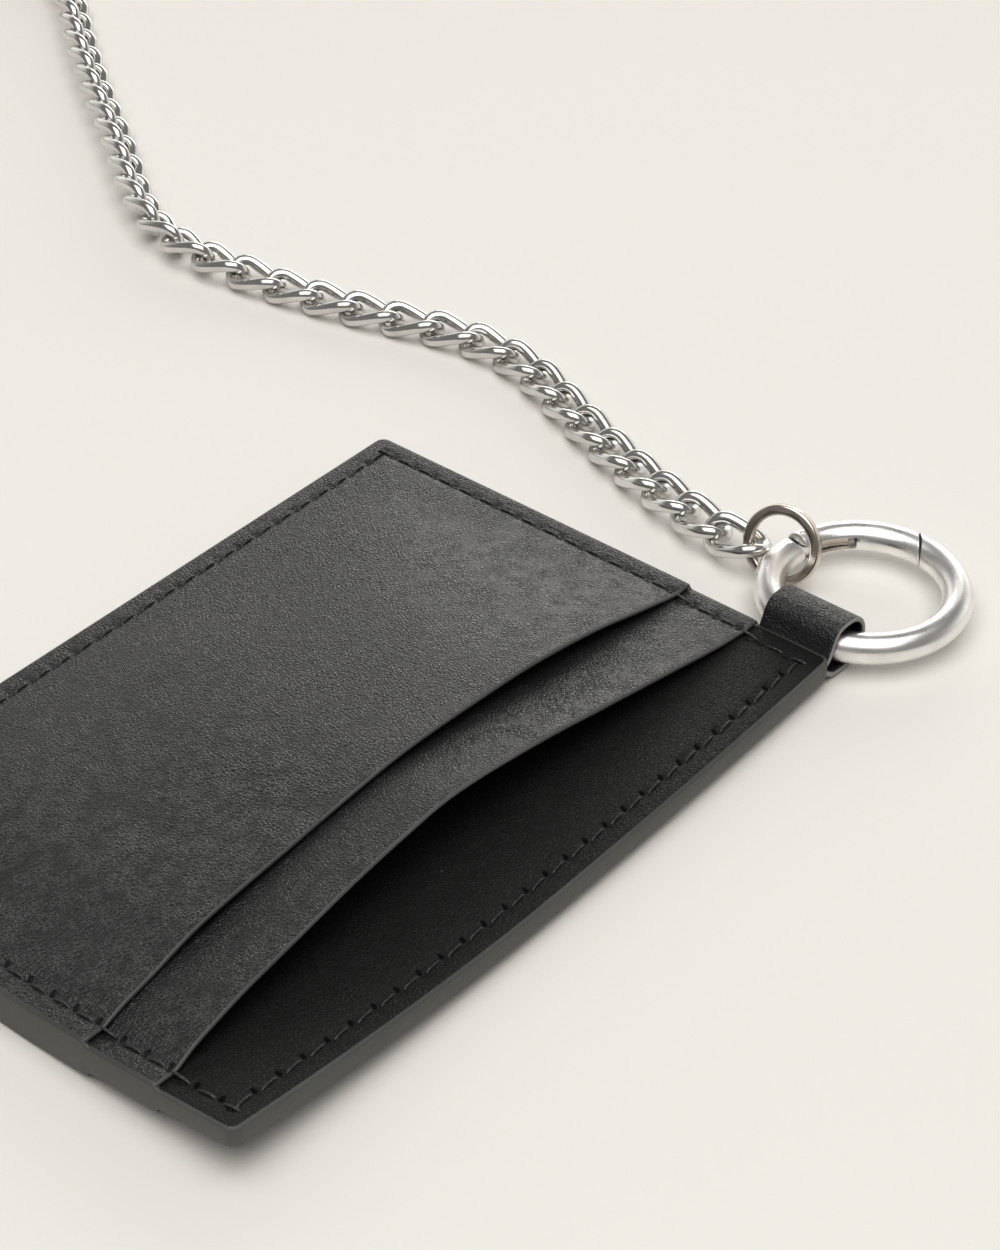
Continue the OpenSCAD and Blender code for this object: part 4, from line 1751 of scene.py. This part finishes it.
@dataclass
class Clasp:
    """The swivel clasp at the chain's far end, with the split ring that holds it."""

    finishes: Finishes

    def build(self) -> None:
        """Builds the ring, the eye, the hook, and the lever with its pin and its spring."""
        for node, name, body in (
            ("end_ring", "End_ring", "end_ring"), ("clasp_eye", "Clasp_eye", "clasp_eye"),
            ("clasp_body", "Clasp_hook", "clasp"), ("clasp_lever", "Clasp_lever", "clasp_lever"),
            ("clasp_lever_pin", "Clasp_lever_pin", "clasp"),
        ):
            TurnedPart(node, name, body, Slot.POLISHED, self.finishes.chain).build()
        TurnedPart("clasp_spring", "Clasp_spring", "clasp", Slot.SPRING, self.finishes.spring).build()


# ---- Scene -------------------------------------------------------------------------------


@dataclass
class Studio:
    """Pale floor, soft light and the camera."""

    camera_at: Point = (178.26, 175.21, 212.55)
    aim_at: Point = (-34.25, -2.13, 0.0)
    lens_mm: float = 83.06
    middle: Point = (-20.0, -20.0, 0.0)
    wall_way: Point = (-0.90, -0.43, 0.0)
    wall_light: Colour = (1.35, 1.33, 1.29, 1.0)
    room_dim: Colour = (0.22, 0.215, 0.21, 1.0)
    ceiling: Colour = (0.20, 0.197, 0.192, 1.0)
    floor_dark: Colour = (0.86, 0.835, 0.79, 1.0)
    floor_light: Colour = (0.88, 0.855, 0.81, 1.0)
    floor_reach: float = 4000.0

    def floor(self) -> None:
        """A plain pale floor."""
        material, graph, shader = new_material("floor_paint")
        where = graph.add("ShaderNodeTexCoord").outputs["Object"]
        cloud = noise(graph, where, 3.0, 2.0)
        tone = graph.remap(cloud, 0.3, 0.7, 0.0, 1.0)
        graph.join(graph.mix(tone, self.floor_dark, self.floor_light), shader.inputs["Base Color"])
        shader.inputs["Roughness"].default_value = 0.7
        shader.inputs["Specular IOR Level"].default_value = 0.2
        reach = self.floor_reach
        corners = [(-reach, -reach, 0.0), (reach, -reach, 0.0), (reach, reach, 0.0), (-reach, reach, 0.0)]
        mesh_object("Floor", np.array(corners), [(0, 1, 2, 3)], [material])

    def light(self, name: str, at: Point, size: float, power: float, colour: Point) -> None:
        """Adds a soft square light that points at the holder.

        Args:
            name: The light's name.
            at: Its place, in millimetres.
            size: Its side, in millimetres.
            power: Its power in watts.
            colour: Its colour.
        """
        data = bpy.data.lights.new(name, "AREA")
        data.shape = "SQUARE"
        data.size = size * MM
        data.energy = power
        data.color = colour
        self.aim(add_object(name, data), at, self.middle)

    @staticmethod
    def aim(thing: bpy.types.Object, at: Point, target: Point) -> None:
        """Puts a light or camera at a place, in millimetres, and points it at a target."""
        thing.location = Vector(at) * MM
        thing.rotation_euler = (Vector(target) - Vector(at)).to_track_quat("-Z", "Y").to_euler()

    def sky(self) -> None:
        """A dim room with one bright wall behind the holder, low down."""
        world = bpy.data.worlds.new("Room")
        bpy.context.scene.world = world
        world.use_nodes = True
        graph = Graph(world.node_tree)
        back = world.node_tree.nodes["Background"]
        where = graph.add("ShaderNodeTexCoord").outputs["Generated"]
        facing = graph.add("ShaderNodeVectorMath", operation="DOT_PRODUCT")
        graph.join(where, facing.inputs[0])
        facing.inputs[1].default_value = self.wall_way
        split = graph.add("ShaderNodeSeparateXYZ")
        graph.join(where, split.inputs[0])
        wall = graph.remap(facing.outputs["Value"], -0.1, 0.95, 0.0, 1.0)
        low = graph.mix(wall, self.room_dim, self.wall_light)
        up = graph.remap(split.outputs["Z"], 0.25, 0.55, 0.0, 1.0)
        graph.join(graph.mix(up, low, self.ceiling), back.inputs["Color"])
        back.inputs["Strength"].default_value = 1.0

    def camera(self) -> None:
        """The camera, level, looking down on the holder from its top right."""
        data = bpy.data.cameras.new("Camera")
        data.lens = self.lens_mm
        data.clip_start = 0.01
        data.clip_end = 20.0
        eye = add_object("Camera", data)
        self.aim(eye, self.camera_at, self.aim_at)
        bpy.context.scene.camera = eye

    def build(self) -> None:
        """Sets up the whole stage."""
        self.floor()
        self.sky()
        self.camera()
        self.light("Overhead", (220.0, 160.0, 1100.0), 1300.0, 13.0, (1.0, 0.99, 0.975))
        self.light("Back", (-900.0, -480.0, 330.0), 600.0, 2.0, (1.0, 0.985, 0.96))
        bpy.context.scene.view_settings.view_transform = "Standard"


def main() -> None:
    """Builds the wallet's looks and the scene round it."""
    logging.basicConfig(level=logging.INFO, format="%(name)s: %(message)s")
    Studio().build()
    finishes = Finishes.build()
    repeater = Repeater.build("copies_on_points")
    Holder(HolderShape.from_frame(), finishes).build(repeater)
    Tab(finishes).build()
    Chain(finishes).build(repeater)
    Hoop(finishes).build()
    TurnedPart("jump_ring", "Jump_ring", "jump_ring", Slot.NICKEL, finishes.jump_ring).build()
    Clasp(finishes).build()


if __name__ == "__main__":
    main()
